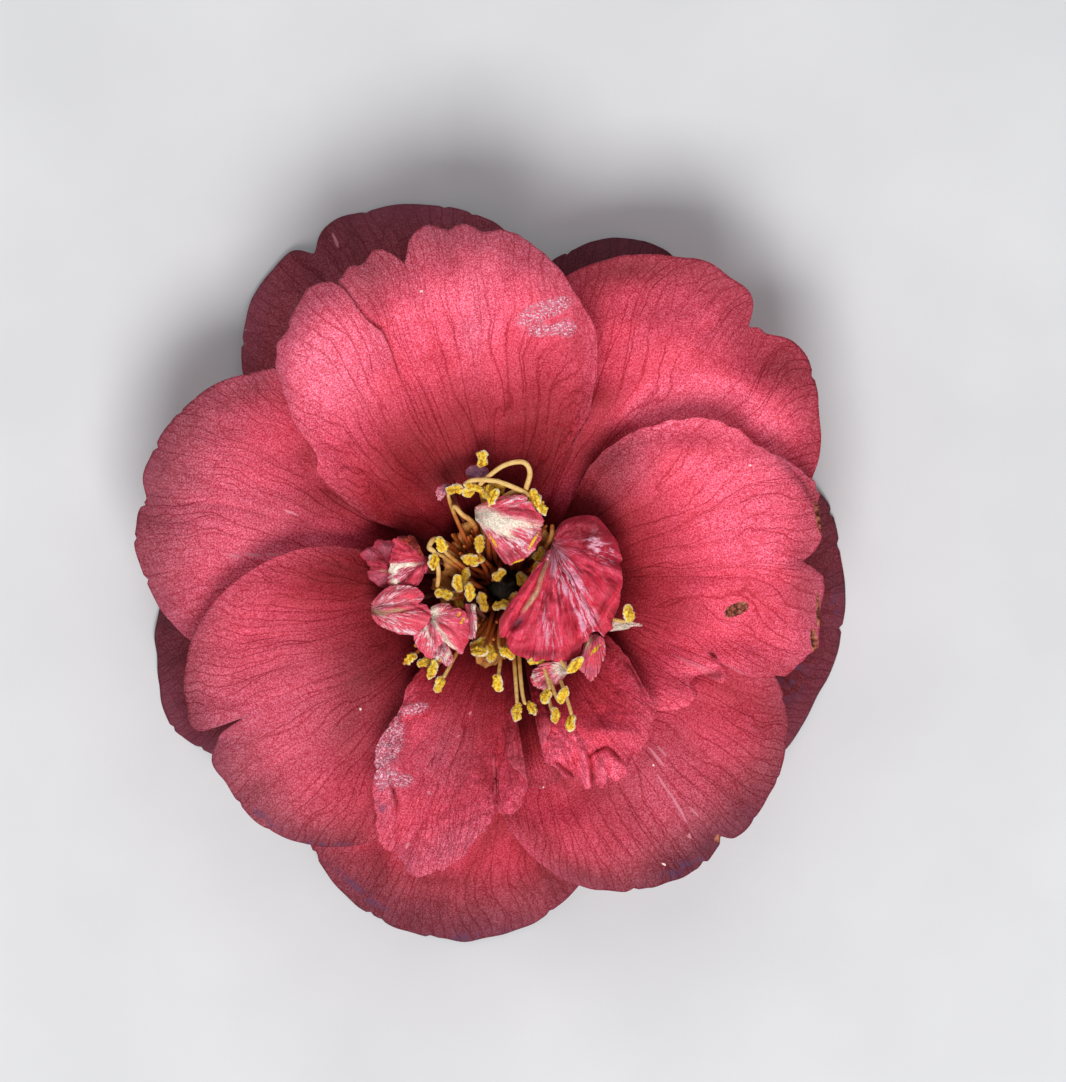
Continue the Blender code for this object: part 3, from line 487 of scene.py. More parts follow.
def sheet(mid, thick, uv, **marks):
    """A closed sheet: a grid of middle points pushed half the thickness each way along its
    normal, with a wall round the rim. under is 1 on its lower side."""
    rows, columns = mid.shape[:2]
    normal = unit(np.cross(np.gradient(mid, axis=0), np.gradient(mid, axis=1)))
    normal = normal * np.where(normal[..., 2].mean() < 0, -1, 1)
    half = normal * np.broadcast_to(thick, (rows, columns))[..., None] / 2
    points = np.concatenate([(mid + half).reshape(-1, 3), (mid - half).reshape(-1, 3)])
    index = np.arange(rows * columns).reshape(rows, columns)
    top = np.stack([index[:-1, :-1], index[:-1, 1:], index[1:, 1:], index[1:, :-1]], axis=-1).reshape(-1, 4)
    rim = np.concatenate([index[0], index[1:, -1], index[-1, -2::-1], index[-2:0:-1, 0]])
    after = np.roll(rim, -1)
    below = rows * columns
    wall = np.stack([after, rim, rim + below, after + below], axis=-1)
    quads = np.concatenate([top, top[:, ::-1] + below, wall])
    both = {name: np.tile(np.broadcast_to(value, (rows, columns)).ravel(), 2)
            for name, value in marks.items()}
    under = np.repeat([0.0, 1.0], below)
    return body(points, quads, uv=np.tile(uv.reshape(-1, 2), (2, 1)), under=under, **both)


def rod(path, radii, sides=8, **marks):
    """A closed round rod: rings of the given radii round a path, shut by a point at each end.
    The rings are set out from the direction the path keeps furthest from."""
    tangent = unit(np.gradient(path, axis=0))
    steady = np.linalg.svd(tangent)[2][-1]
    first = unit(np.cross(tangent, steady))
    second = np.cross(tangent, first)
    turn = np.arange(sides) * 2 * np.pi / sides
    ring = first[:, None] * np.cos(turn)[None, :, None] + second[:, None] * np.sin(turn)[None, :, None]
    rings = path[:, None] + ring * np.broadcast_to(radii, len(path))[:, None, None]
    return tube(rings, path[0], path[-1], **marks)


def tube(rings, start, end, **marks):
    """A closed surface through rings of points, with a point at each end. Marks are given for
    each ring, or as one value."""
    rows, sides = rings.shape[:2]
    points = np.concatenate([rings.reshape(-1, 3), [start, end]])
    index = np.arange(rows * sides).reshape(rows, sides)
    after = np.roll(index, -1, axis=1)
    quads = np.stack([index[:-1], after[:-1], after[1:], index[1:]], axis=-1).reshape(-1, 4)
    first, last = rows * sides, rows * sides + 1
    tris = np.concatenate([np.stack([after[0], index[0], np.full(sides, first)], axis=-1),
                           np.stack([index[-1], after[-1], np.full(sides, last)], axis=-1)])
    spread = {}
    for name, value in marks.items():
        value = np.asarray(value, float)
        grid = np.broadcast_to(value[:, None] if value.ndim == 1 else value, (rows, sides))
        spread[name] = np.append(grid.ravel(), [grid[0].mean(), grid[-1].mean()])
    around = np.broadcast_to(np.linspace(0, 1, sides), (rows, sides))
    along = np.broadcast_to(np.linspace(0, 1, rows)[:, None], (rows, sides))
    uv = np.concatenate([np.stack([around, along], axis=-1).reshape(-1, 2), [[0.5, 0.0], [0.5, 1.0]]])
    return body(points, quads, tris, uv=uv, **spread)


# ------------------------------------------------------------ petals


def blade_axes(petal):
    """Centre of the blade and the unit directions along and across it in the plan."""
    centre = np.array(petal["centre"], float)
    along = unit(centre)
    return centre, along, np.array([-along[1], along[0]])


def blade_margin(petal, v):
    """Plan points of the petal's margin for v from -1 to 1: its outline points, or a
    rounded-square ellipse round the blade's centre, with a bell-shaped bump or notch added at
    each of its places, a slight waver and a few small nicks."""
    centre, along, across = blade_axes(petal)
    if "outline" in petal:
        margin = through(petal["outline"], (v + 1) / 2)
        waver = OUTLINE_WAVER * wander(v * 150, 0, 6.0, petal["seed"])
        return margin + waver[:, None] * unit(margin - centre)
    angle = np.radians(BLADE_SWEEP) * v
    degrees = np.degrees(angle)
    half_length, half_width = petal["size"]
    power = petal["square"]
    inverse = np.abs(np.cos(angle) / half_length) ** power + np.abs(np.sin(angle) / half_width) ** power
    reach = inverse ** (-1 / power)
    for place, size, width in petal["bumps"]:
        reach = reach + size * np.exp(-(np.abs(degrees - place) / width) ** 1.6)
    if petal["frill"]:
        reach = reach + petal["frill"] * wander(degrees, 0, 16.0, petal["seed"])
        reach = reach - 0.45 * smooth(wander(degrees, 0, 4.0, petal["seed"] + 7), 1.25, 2.2)
    return centre + (reach * np.cos(angle))[:, None] * along + (reach * np.sin(angle))[:, None] * across


def petal_columns(petal, count):
    """Column places from -1 to 1, crowded at the narrow notches: equal steps of a summed
    density that is 1 everywhere plus a bell at each notch."""
    fine = np.linspace(-1, 1, 4001)
    density = np.ones_like(fine)
    for place, size, width in petal["bumps"]:
        bell = np.exp(-((fine * BLADE_SWEEP - place) / (1.2 + 1.6 * width)) ** 2)
        density = density + (size < -1) * (2 + 4 / width) * bell
    total = np.cumsum(density)
    total = (total - total[0]) / (total[-1] - total[0])
    return np.interp(np.linspace(0, 1, count), total, fine)


def height_curve(petal, radius):
    """Height of the petal's row at a radius from the axis: a quick rise, then a slow droop.

    Petals of the back row droop until the tip of the blade stands just above the floor.
    """
    row = ROWS[petal["row"]]
    out = radius - row["root"]
    climb = row["foot"] + row["rise"] * (1 - np.exp(-out / row["run"]))
    climb = climb + petal["lift"] * (1 - np.exp(-np.maximum(out, 0) / LIFT_RUN))
    if petal["row"] != "back":
        return climb - row["droop"] * (radius / 50) ** 3
    tip = np.hypot(*petal["centre"]) + petal["size"][0]
    return climb - (row["foot"] + row["rise"] + petal["lift"] - TIP_HEIGHT) * (radius / tip) ** 3


def near_fold(petal, v):
    """1 close to the third place of a slit petal's fold, which is its middle, going to 0 away
    from it."""
    middle = 2 * petal["fold"][2][0] / (len(petal["outline"]) - 1) - 1
    return 1 - smooth(np.abs(v - middle), 0.16, 0.42)


def petal_grid(petal, u, v):
    """Middle points of a petal over u from claw to margin and v from side to side, and the
    share of the blade's plain length that each has gone.

    Straight plan lines fan from the claw to the margin, and bumps and notches of the margin fade
    out towards the claw. Next to a slit the lines run towards the outline as it would be without
    it, rounded by a bell-shaped mean over the columns, and bend over into the slit only in their
    outer part. The height is the row's curve plus the petal's own lean, cup and ruffle, which
    grow with the share s of the plain blade length from nothing at the claw, and near a slit the
    heights of its fold.
    """
    row = ROWS[petal["row"]]
    _, along, across = blade_axes(petal)
    claw = along * row["root"] + (petal["claw"] * v)[:, None] * across
    margin = blade_margin(petal, v) - claw
    if "outline" in petal:
        plain, share = margin, np.ones(len(v))
    else:
        plain = blade_margin(dict(petal, bumps=[], frill=0), v) - claw
        share = (margin * plain).sum(axis=1) / (plain ** 2).sum(axis=1)
    s = u[:, None] * (1 + (share[None] - 1) * u[:, None] ** 2)
    bend = np.zeros_like(plain)
    if "fold" in petal:
        steps = np.arange(len(v))
        weights = np.exp(-((steps[:, None] - steps) / SLIT_ROUNDING) ** 2)
        rounded = weights @ plain / weights.sum(axis=1, keepdims=True)
        bend = (plain - rounded) * near_fold(petal, v)[:, None]
    plan = claw + s[..., None] * (plain - bend) + smooth(s, 0.60, 1.0)[..., None] * bend
    radius = np.linalg.norm(plan, axis=-1)
    vv = v[None]
    size, waves, phase = petal["ruffle"]
    own = petal["lean"] * vv * s + petal["cup"] * (vv ** 2 - 0.3) * s ** 2
    own = own + size * np.sin(waves * np.pi * vv + phase) * s ** 3
    if "fold" in petal:
        places, heights = np.array(petal["fold"], float).T
        fold = np.interp((v + 1) / 2 * (len(petal["outline"]) - 1), places, heights)
        own = own + fold[None] * smooth(s, 0.50, 0.95)
    return np.concatenate([plan, (height_curve(petal, radius) + own)[..., None]], axis=-1), s


def relief(name, petal, x, y, s, v):
    """Fine relief laid over a petal: a slow unevenness that all petals share, so that close
    neighbours rise and fall together, pleats that fan out from the claw, a small wave of the
    margin, and the petal's own swellings, hollows and creases. The two ruffled petals of the
    inner row stand higher outwards and are crumpled as well."""
    seed = petal["seed"]
    slow = sum(height * wander(x, y, *field) for height, *field in SHARED_WAVES)
    calm = 1 - near_fold(petal, v) if "fold" in petal else 1.0
    pleats = 0.13 * wander(v * 40, s * 3, 6.0, seed + 1) * s * (1 - s ** 4) * calm
    edge = 0.22 * wander(v * 60, 0 * s, 11.0, seed + 2) * smooth(s, 0.72, 1.0) * calm
    total = slow * smooth(s, 0.1, 0.5) + pleats + edge + weighed(x, y, SWELLS.get(name, []))
    if petal["row"] == "inner":
        creased = 0.08 * crumpled(x, y, 4.6, seed + 3) + 0.06 * crumpled(x, y, 1.6, seed + 5)
        total = total + INNER_LIFT * smooth(s, 0.55, 1.0) + creased * smooth(s, 0.35, 0.7)
    for crease in CREASES.get(name, []):
        total = total + groove(x, y, crease)
    return total


def petal_tone_and_shade(name, petal, x, y):
    """How bright the petal's colour is, as its redness from 0 to 1: from the heart's tone to the
    blade's by the open radius, then from the fade radius on to the rim's, plus its patches. The
    deep heart and the low tones of the back petals are partly painted shade, and the patches are
    painted light and shade."""
    heart, blade, rim, open_radius, fade = petal["tone"]
    radius = np.hypot(x, y)
    tone = heart + (blade - heart) * smooth(radius, HEART_RADIUS, open_radius)
    tone = tone + (rim - blade) * smooth(radius, fade, fade + RIM_FADE)
    return np.clip(tone / 255 + weighed(x, y, PAINTED_LIGHT_AND_SHADE.get(name, [])), DEEPEST, 1)


def petal_marks(name, petal, grid, u, v, s):
    """What the finish reads at each point of a petal: how worn it is, these patches partly painted
    glare, how burnt, bruised and pale it is, pale holding a painted rim highlight on the inner and
    under petals, its tone with its painted shade, how dusty it is outwards, and a dusk along parts
    of its margin."""
    seed = petal["seed"]
    x, y = grid[..., 0], grid[..., 1]
    radius = np.hypot(x, y)
    across, out = v[None] + 0 * s, u[:, None] + 0 * s
    marks = {mark: spots(x, y, table.get(name, [])) for mark, table in MARKS.items()}
    if petal["row"] in ("inner", "under"):
        # A thin painted highlight along the rim of the inner and under petals, laid into pale.
        painted_rim_highlight = 0.15 * smooth(out, 0.985, 0.996)
        marks["pale"] = marks["pale"] + painted_rim_highlight * (1 + wander(across * 30, 0 * s, 7.0, seed))
    dusk = smooth(out, 0.90, 1.0) * (0.30 + 0.30 * wander(across * 30, 0 * s, 12.0, seed + 4))
    dusty = 0.65 * smooth(radius, 37, 50) + 0.35 * smooth(out, 0.7, 1.0) * smooth(radius, 12, 25)
    dusty = dusty + 0.7 * spots(x, y, DUSTY.get(name, []))
    return dict(marks, share=s, tone=petal_tone_and_shade(name, petal, x, y), seed=seed / 10,
                dusk=petal["dust"] * np.clip(dusk, 0, 1) * smooth(radius, 28, 44),
                dusty=petal["dust"] * np.clip(dusty, 0, 1))


def make_petal(name, petal, finish, thick, rim, count):
    """One petal as a closed sheet, thin at the margin, with its marks and its fan of veins."""
    u = np.linspace(0, 1, count[0]) ** 0.9
    v = petal_columns(petal, count[1])
    grid, s = petal_grid(petal, u, v)
    height = grid[..., 2] + relief(name, petal, grid[..., 0], grid[..., 1], s, v[None])
    grid[..., 2] = np.maximum(height, FLOOR_GAP)
    taper = rim + (thick - rim) * (1 - u[:, None] ** 3)
    fan = np.stack([np.broadcast_to(v[None], s.shape), s], axis=-1)
    shape = sheet(grid, taper, fan, **petal_marks(name, petal, grid, u, v, s))
    make_piece(name + "_form", shape, finish, [name])


# ------------------------------------------------------------ finishes


class Finish:
    """Short hand for building one finish: each method adds a node and returns its output."""

    def __init__(self, name, **settings):
        """A new material whose shader takes the given settings on its own sockets."""
        self.material = bpy.data.materials.new(name)
        self.material.use_nodes = True
        self.tree = self.material.node_tree
        self.shader = self.tree.nodes["Principled BSDF"]
        for socket, value in settings.items():
            self.shader.inputs[socket.replace("_", " ")].default_value = value

    def node(self, kind, inputs, **settings):
        """One node with its settings and its input values or links."""
        node = self.tree.nodes.new("ShaderNode" + kind)
        for name, value in settings.items():
            setattr(node, name, value)
        for socket, value in inputs.items():
            if isinstance(value, bpy.types.NodeSocket):
                self.tree.links.new(value, node.inputs[socket])
            else:
                node.inputs[socket].default_value = value
        return node

    def mark(self, name):
        """A named mark that the mesh carries."""
        return self.node("Attribute", {}, attribute_name=name).outputs["Fac"]

    def stretched(self, vector, scale):
        """A place scaled along each of its axes."""
        return self.node("Mapping", {"Vector": vector, "Scale": scale}).outputs["Vector"]

    def place(self, scale=(1, 1, 1), fan=False):
        """The place on the piece: metres in the row frame, or its fan of veins, then scaled."""
        return self.stretched(self.node("TexCoord", {}).outputs["UV" if fan else "Object"], scale)

    def noise(self, vector, scale, detail=2.0, roughness=0.5):
        """A cloudy pattern round one half."""
        inputs = {"Vector": vector, "Scale": scale, "Detail": detail, "Roughness": roughness}
        return self.node("TexNoise", inputs).outputs["Fac"]

    def cells(self, vector):
        """Distance from the nearest wall of a net of uneven cells."""
        inputs = {"Vector": vector, "Scale": 1.0}
        return self.node("TexVoronoi", inputs, feature="DISTANCE_TO_EDGE").outputs["Distance"]

    def step(self, value, low, high, start=0.0, end=1.0):
        """start below low, end above high and an S-curve between."""
        inputs = {"Value": value, "From Min": low, "From Max": high, "To Min": start, "To Max": end}
        return self.node("MapRange", inputs, interpolation_type="SMOOTHSTEP").outputs["Result"]

    def sum(self, kind, a, b):
        """Two values put together by a kind of sum, such as MULTIPLY."""
        return self.node("Math", {0: a, 1: b}, operation=kind).outputs["Value"]

    def times(self, a, b):
        """The product of two values."""
        return self.sum("MULTIPLY", a, b)

    def plus(self, a, b):
        """Two values added."""
        return self.sum("ADD", a, b)

    def mix(self, share, a, b, kind="MIX"):
        """Colour a going to colour b as share goes from 0 to 1."""
        node = self.node("Mix", {}, data_type="RGBA", blend_type=kind)
        for socket, value in ((0, share), (6, a), (7, b)):
            if isinstance(value, bpy.types.NodeSocket):
                self.tree.links.new(value, node.inputs[socket])
            else:
                node.inputs[socket].default_value = value if socket == 0 else (*value, 1.0)
        return node.outputs[2]

    def layers(self, colour, *layers):
        """A colour with others laid over it in turn, each given as its share and the colour."""
        for share, other in layers:
            colour = self.mix(share, colour, other)
        return colour

    def blend(self, value, stops):
        """A run of colours through (place, colour) stops."""
        node = self.node("ValToRGB", {"Fac": value})
        ramp = node.color_ramp
        ramp.elements[0].position, ramp.elements[0].color = stops[0][0], (*stops[0][1], 1)
        ramp.elements[1].position, ramp.elements[1].color = stops[-1][0], (*stops[-1][1], 1)
        for place, colour in stops[1:-1]:
            ramp.elements.new(place).color = (*colour, 1)
        return node.outputs["Color"]

    def bump(self, height, depth, strength):
        """A relief of the given depth in metres on the surface."""
        inputs = {"Height": height, "Distance": depth, "Strength": strength}
        return self.node("Bump", inputs).outputs["Normal"]

    def use(self, **links):
        """Links outputs to the shader's sockets and gives the finished material."""
        for socket, output in links.items():
            self.tree.links.new(output, self.shader.inputs[socket.replace("_", " ")])
        return self.material


def srgb(red, green, blue):
    """A colour given as 0 to 255 screen values, in the linear values that shaders take."""
    colour = np.array([red, green, blue]) / 255
    return tuple(np.where(colour <= 0.04045, colour / 12.92, ((colour + 0.055) / 1.055) ** 2.4).tolist())


# Rose along the tone from the dark heart to the bright blade, its dark end reached where the tone
# holds painted shade, and the same a little dusty, as at the margins.
ROSE = [(0.20, srgb(56, 12, 18)), (0.37, srgb(93, 16, 23)), (0.48, srgb(123, 24, 31)),
        (0.57, srgb(146, 32, 42)), (0.71, srgb(181, 48, 64)), (0.82, srgb(209, 64, 86)),
        (0.92, srgb(236, 78, 102)), (1.0, srgb(254, 100, 127))]
DUSTY_ROSE = [(0.20, srgb(56, 18, 25)), (0.40, srgb(104, 40, 52)), (0.62, srgb(159, 70, 84)),
              (0.75, srgb(191, 83, 102)), (0.87, srgb(222, 96, 120)), (1.0, srgb(254, 120, 147))]


# How many vein trunks there are to each unit across, and the shares of the blade over which the
# veins part in two, one split after the other.
VEIN_TRUNKS = 4.4
VEIN_SPLITS = [(0.02, 0.34), (0.30, 0.66), (0.58, 1.0)]


def forks(finish, across, share):
    """Distance to the nearest of a set of forking veins, in half spaces between their trunks.

    At each split every vein parts in two: the distance d becomes the absolute value of d less a
    width that grows to half the space between the veins so far.
    """
    turns = finish.sum("FRACT", finish.times(across, VEIN_TRUNKS), 0.0)
    distance = finish.sum("ABSOLUTE", finish.sum("SUBTRACT", finish.times(turns, 2.0), 1.0), 0.0)
    width = 0.5
    for start, end in VEIN_SPLITS:
        away = finish.step(share, start, end, 0.0, width)
        distance = finish.sum("ABSOLUTE", finish.sum("SUBTRACT", distance, away), 0.0)
        width = width / 2
    return distance


def veins(finish):
    """The veins, 1 on a vein: lines that fan from the claw and fork towards the margin, each a
    little astray, over a faint fine net."""
    share = finish.mark("share")
    seed = finish.mark("seed")
    fan = finish.place(fan=True)
    apart = finish.node("CombineXYZ", {"X": seed, "Y": seed, "Z": seed}).outputs["Vector"]
    fan = finish.node("VectorMath", {0: fan, 1: apart}, operation="ADD").outputs[0]
    slow = finish.noise(finish.stretched(fan, (2.2, 3.0, 1)), 1.0, 1.0)
    quick = finish.noise(finish.stretched(fan, (13.0, 13.0, 1)), 1.0, 2.0)
    early = finish.noise(finish.stretched(fan, (11.0, 1.2, 1)), 1.0, 1.0)
    parts = finish.node("SeparateXYZ", {"Vector": fan})
    across = finish.plus(parts.outputs["X"], finish.step(slow, 0.2, 0.8, -0.05, 0.05))
    across = finish.plus(across, finish.step(quick, 0.2, 0.8, -0.006, 0.006))
    place = finish.plus(share, finish.step(early, 0.25, 0.75, -0.26, 0.26))
    distance = forks(finish, across, place)
    grown = finish.times(distance, finish.plus(share, 0.12))
    patch = finish.noise(finish.stretched(fan, (9.0, 4.0, 1)), 1.0, 2.0)
    line = finish.step(grown, 0.002, 0.030, 1.0, 0.0)
    line = finish.times(line, finish.step(patch, 0.3, 0.62, 0.25, 1.0))
    cells = finish.stretched(fan, (26.0, 13.0, 1))
    net = finish.step(finish.cells(cells), 0.0, 0.11, 0.5, 0.0)
    net = finish.times(net, finish.step(share, 0.4, 0.9))
    return finish.sum("MAXIMUM", line, net)


def petal_finish():
    """Velvety rose petal: deep at the heart, partly as painted shade, and bright outwards, with darker
    veins that fork towards the margin, a fine grain, and the marks of wear that single petals carry,
    the worn patches partly painted glare."""
    finish = Finish("petal_rose_velvet", Specular_IOR_Level=0.14, Sheen_Weight=0.03,
                    Sheen_Roughness=0.4, Sheen_Tint=(1.0, 0.6, 0.7, 1.0), Subsurface_Weight=0.04,
                    Subsurface_Scale=0.0008, Subsurface_Radius=(1.0, 0.3, 0.25))
    where = finish.place()
    grain = finish.noise(where, 4600, 2.0, 0.75)
    mottle = finish.noise(where, 240, 4.0, 0.6)
    crumbs = finish.noise(where, 1500, 3.0, 0.6)
    satin = finish.noise(finish.place((13, 0.9, 1), fan=True), 1.0, 3.0, 0.55)
    net = veins(finish)
    tone = finish.plus(finish.mark("tone"), finish.step(mottle, 0.3, 0.7, -0.02, 0.02))
    tone = finish.plus(tone, finish.step(satin, 0.3, 0.7, -0.025, 0.025))
    colour = finish.mix(finish.mark("dusty"), finish.blend(tone, ROSE), finish.blend(tone, DUSTY_ROSE))
    colour = finish.mix(finish.times(net, 0.75), colour, srgb(208, 132, 150), "MULTIPLY")
    speckle = finish.blend(grain, [(0.36, (0.70, 0.24, 0.32)), (0.50, (0.97, 0.90, 0.91)),
                                   (0.64, (1.24, 2.20, 2.00))])
    colour = finish.mix(1.0, colour, speckle, "MULTIPLY")
    dusk = finish.times(finish.mark("dusk"), 0.4)
    pale = finish.step(finish.times(finish.mark("pale"), finish.plus(crumbs, 0.6)), 0.35, 0.6)
    blot = finish.step(finish.noise(where, 700, 5.0), 0.44, 0.6)
    bruise = finish.times(finish.mark("bruised"), blot)
    burnt = finish.step(finish.times(finish.mark("burnt"), finish.plus(crumbs, 0.55)), 0.42, 0.5)
    brown = finish.blend(crumbs, [(0.40, srgb(66, 28, 20)), (0.50, srgb(128, 62, 44)),
                                  (0.66, srgb(186, 118, 92))])
    # Worn patches, partly scuffs and partly painted glare: a pink lightening and pale flecks.
    rubbed_and_glare = finish.step(finish.times(finish.mark("worn_and_glare"), finish.plus(blot, 0.5)), 0.2, 1.0, 0.0, 0.5)
    flecks = finish.noise(finish.place((1.0, 1.5, 1.0)), 2600, 4.0, 0.7)
    worn_glare_spread = finish.times(finish.mark("worn_and_glare"), finish.plus(crumbs, 0.6))
    worn_and_glare = finish.times(finish.step(flecks, 0.47, 0.56), finish.step(worn_glare_spread, 0.22, 0.6))
    glare_silver = finish.blend(grain, [(0.40, srgb(240, 130, 160)), (0.58, srgb(255, 214, 224))])
    under = finish.times(finish.mark("under"), finish.step(tone, 0.6, 1.0, 0.0, 0.3))
    dust = finish.step(finish.noise(where, 620, 1.0), 0.82, 0.84)
    colour = finish.layers(
        colour, (dusk, srgb(140, 72, 92)), (finish.times(pale, 0.6), srgb(232, 150, 166)),
        (finish.times(bruise, 0.75), srgb(92, 62, 92)), (burnt, brown), (rubbed_and_glare, srgb(238, 116, 146)),
        (worn_and_glare, glare_silver), (under, srgb(244, 140, 158)), (dust, srgb(255, 225, 215)))
    height = finish.sum("SUBTRACT", finish.times(grain, 0.7), finish.times(net, 0.9))
    height = finish.plus(height, finish.times(worn_and_glare, 1.5))
    normal = finish.bump(height, 0.00012, 0.7)
    return finish.use(Base_Color=colour, Roughness=finish.step(grain, 0.2, 0.8, 0.46, 0.66), Normal=normal)


# ------------------------------------------------------------ petaloids

# Thickness of a petaloid at its claw and at its rim, and half the width of its stalk there and,
# as a share of that, at its foot.
PETALOID_THICK = 0.42
PETALOID_RIM = 0.14
STALK_HALF_WIDTH = 0.7
STALK_NECK = 0.35
STALK_ROWS = 8
PETALOID_MARKS = ("pale", "cream", "tan", "deep_and_shade", "warm", "pollen", "grey", "faded", "rust")

# What a petaloid has unless its own entry says otherwise.
PLAIN_PETALOID = dict(rows=40, columns=88, blush=0.75, tear=0.06, swells=[])
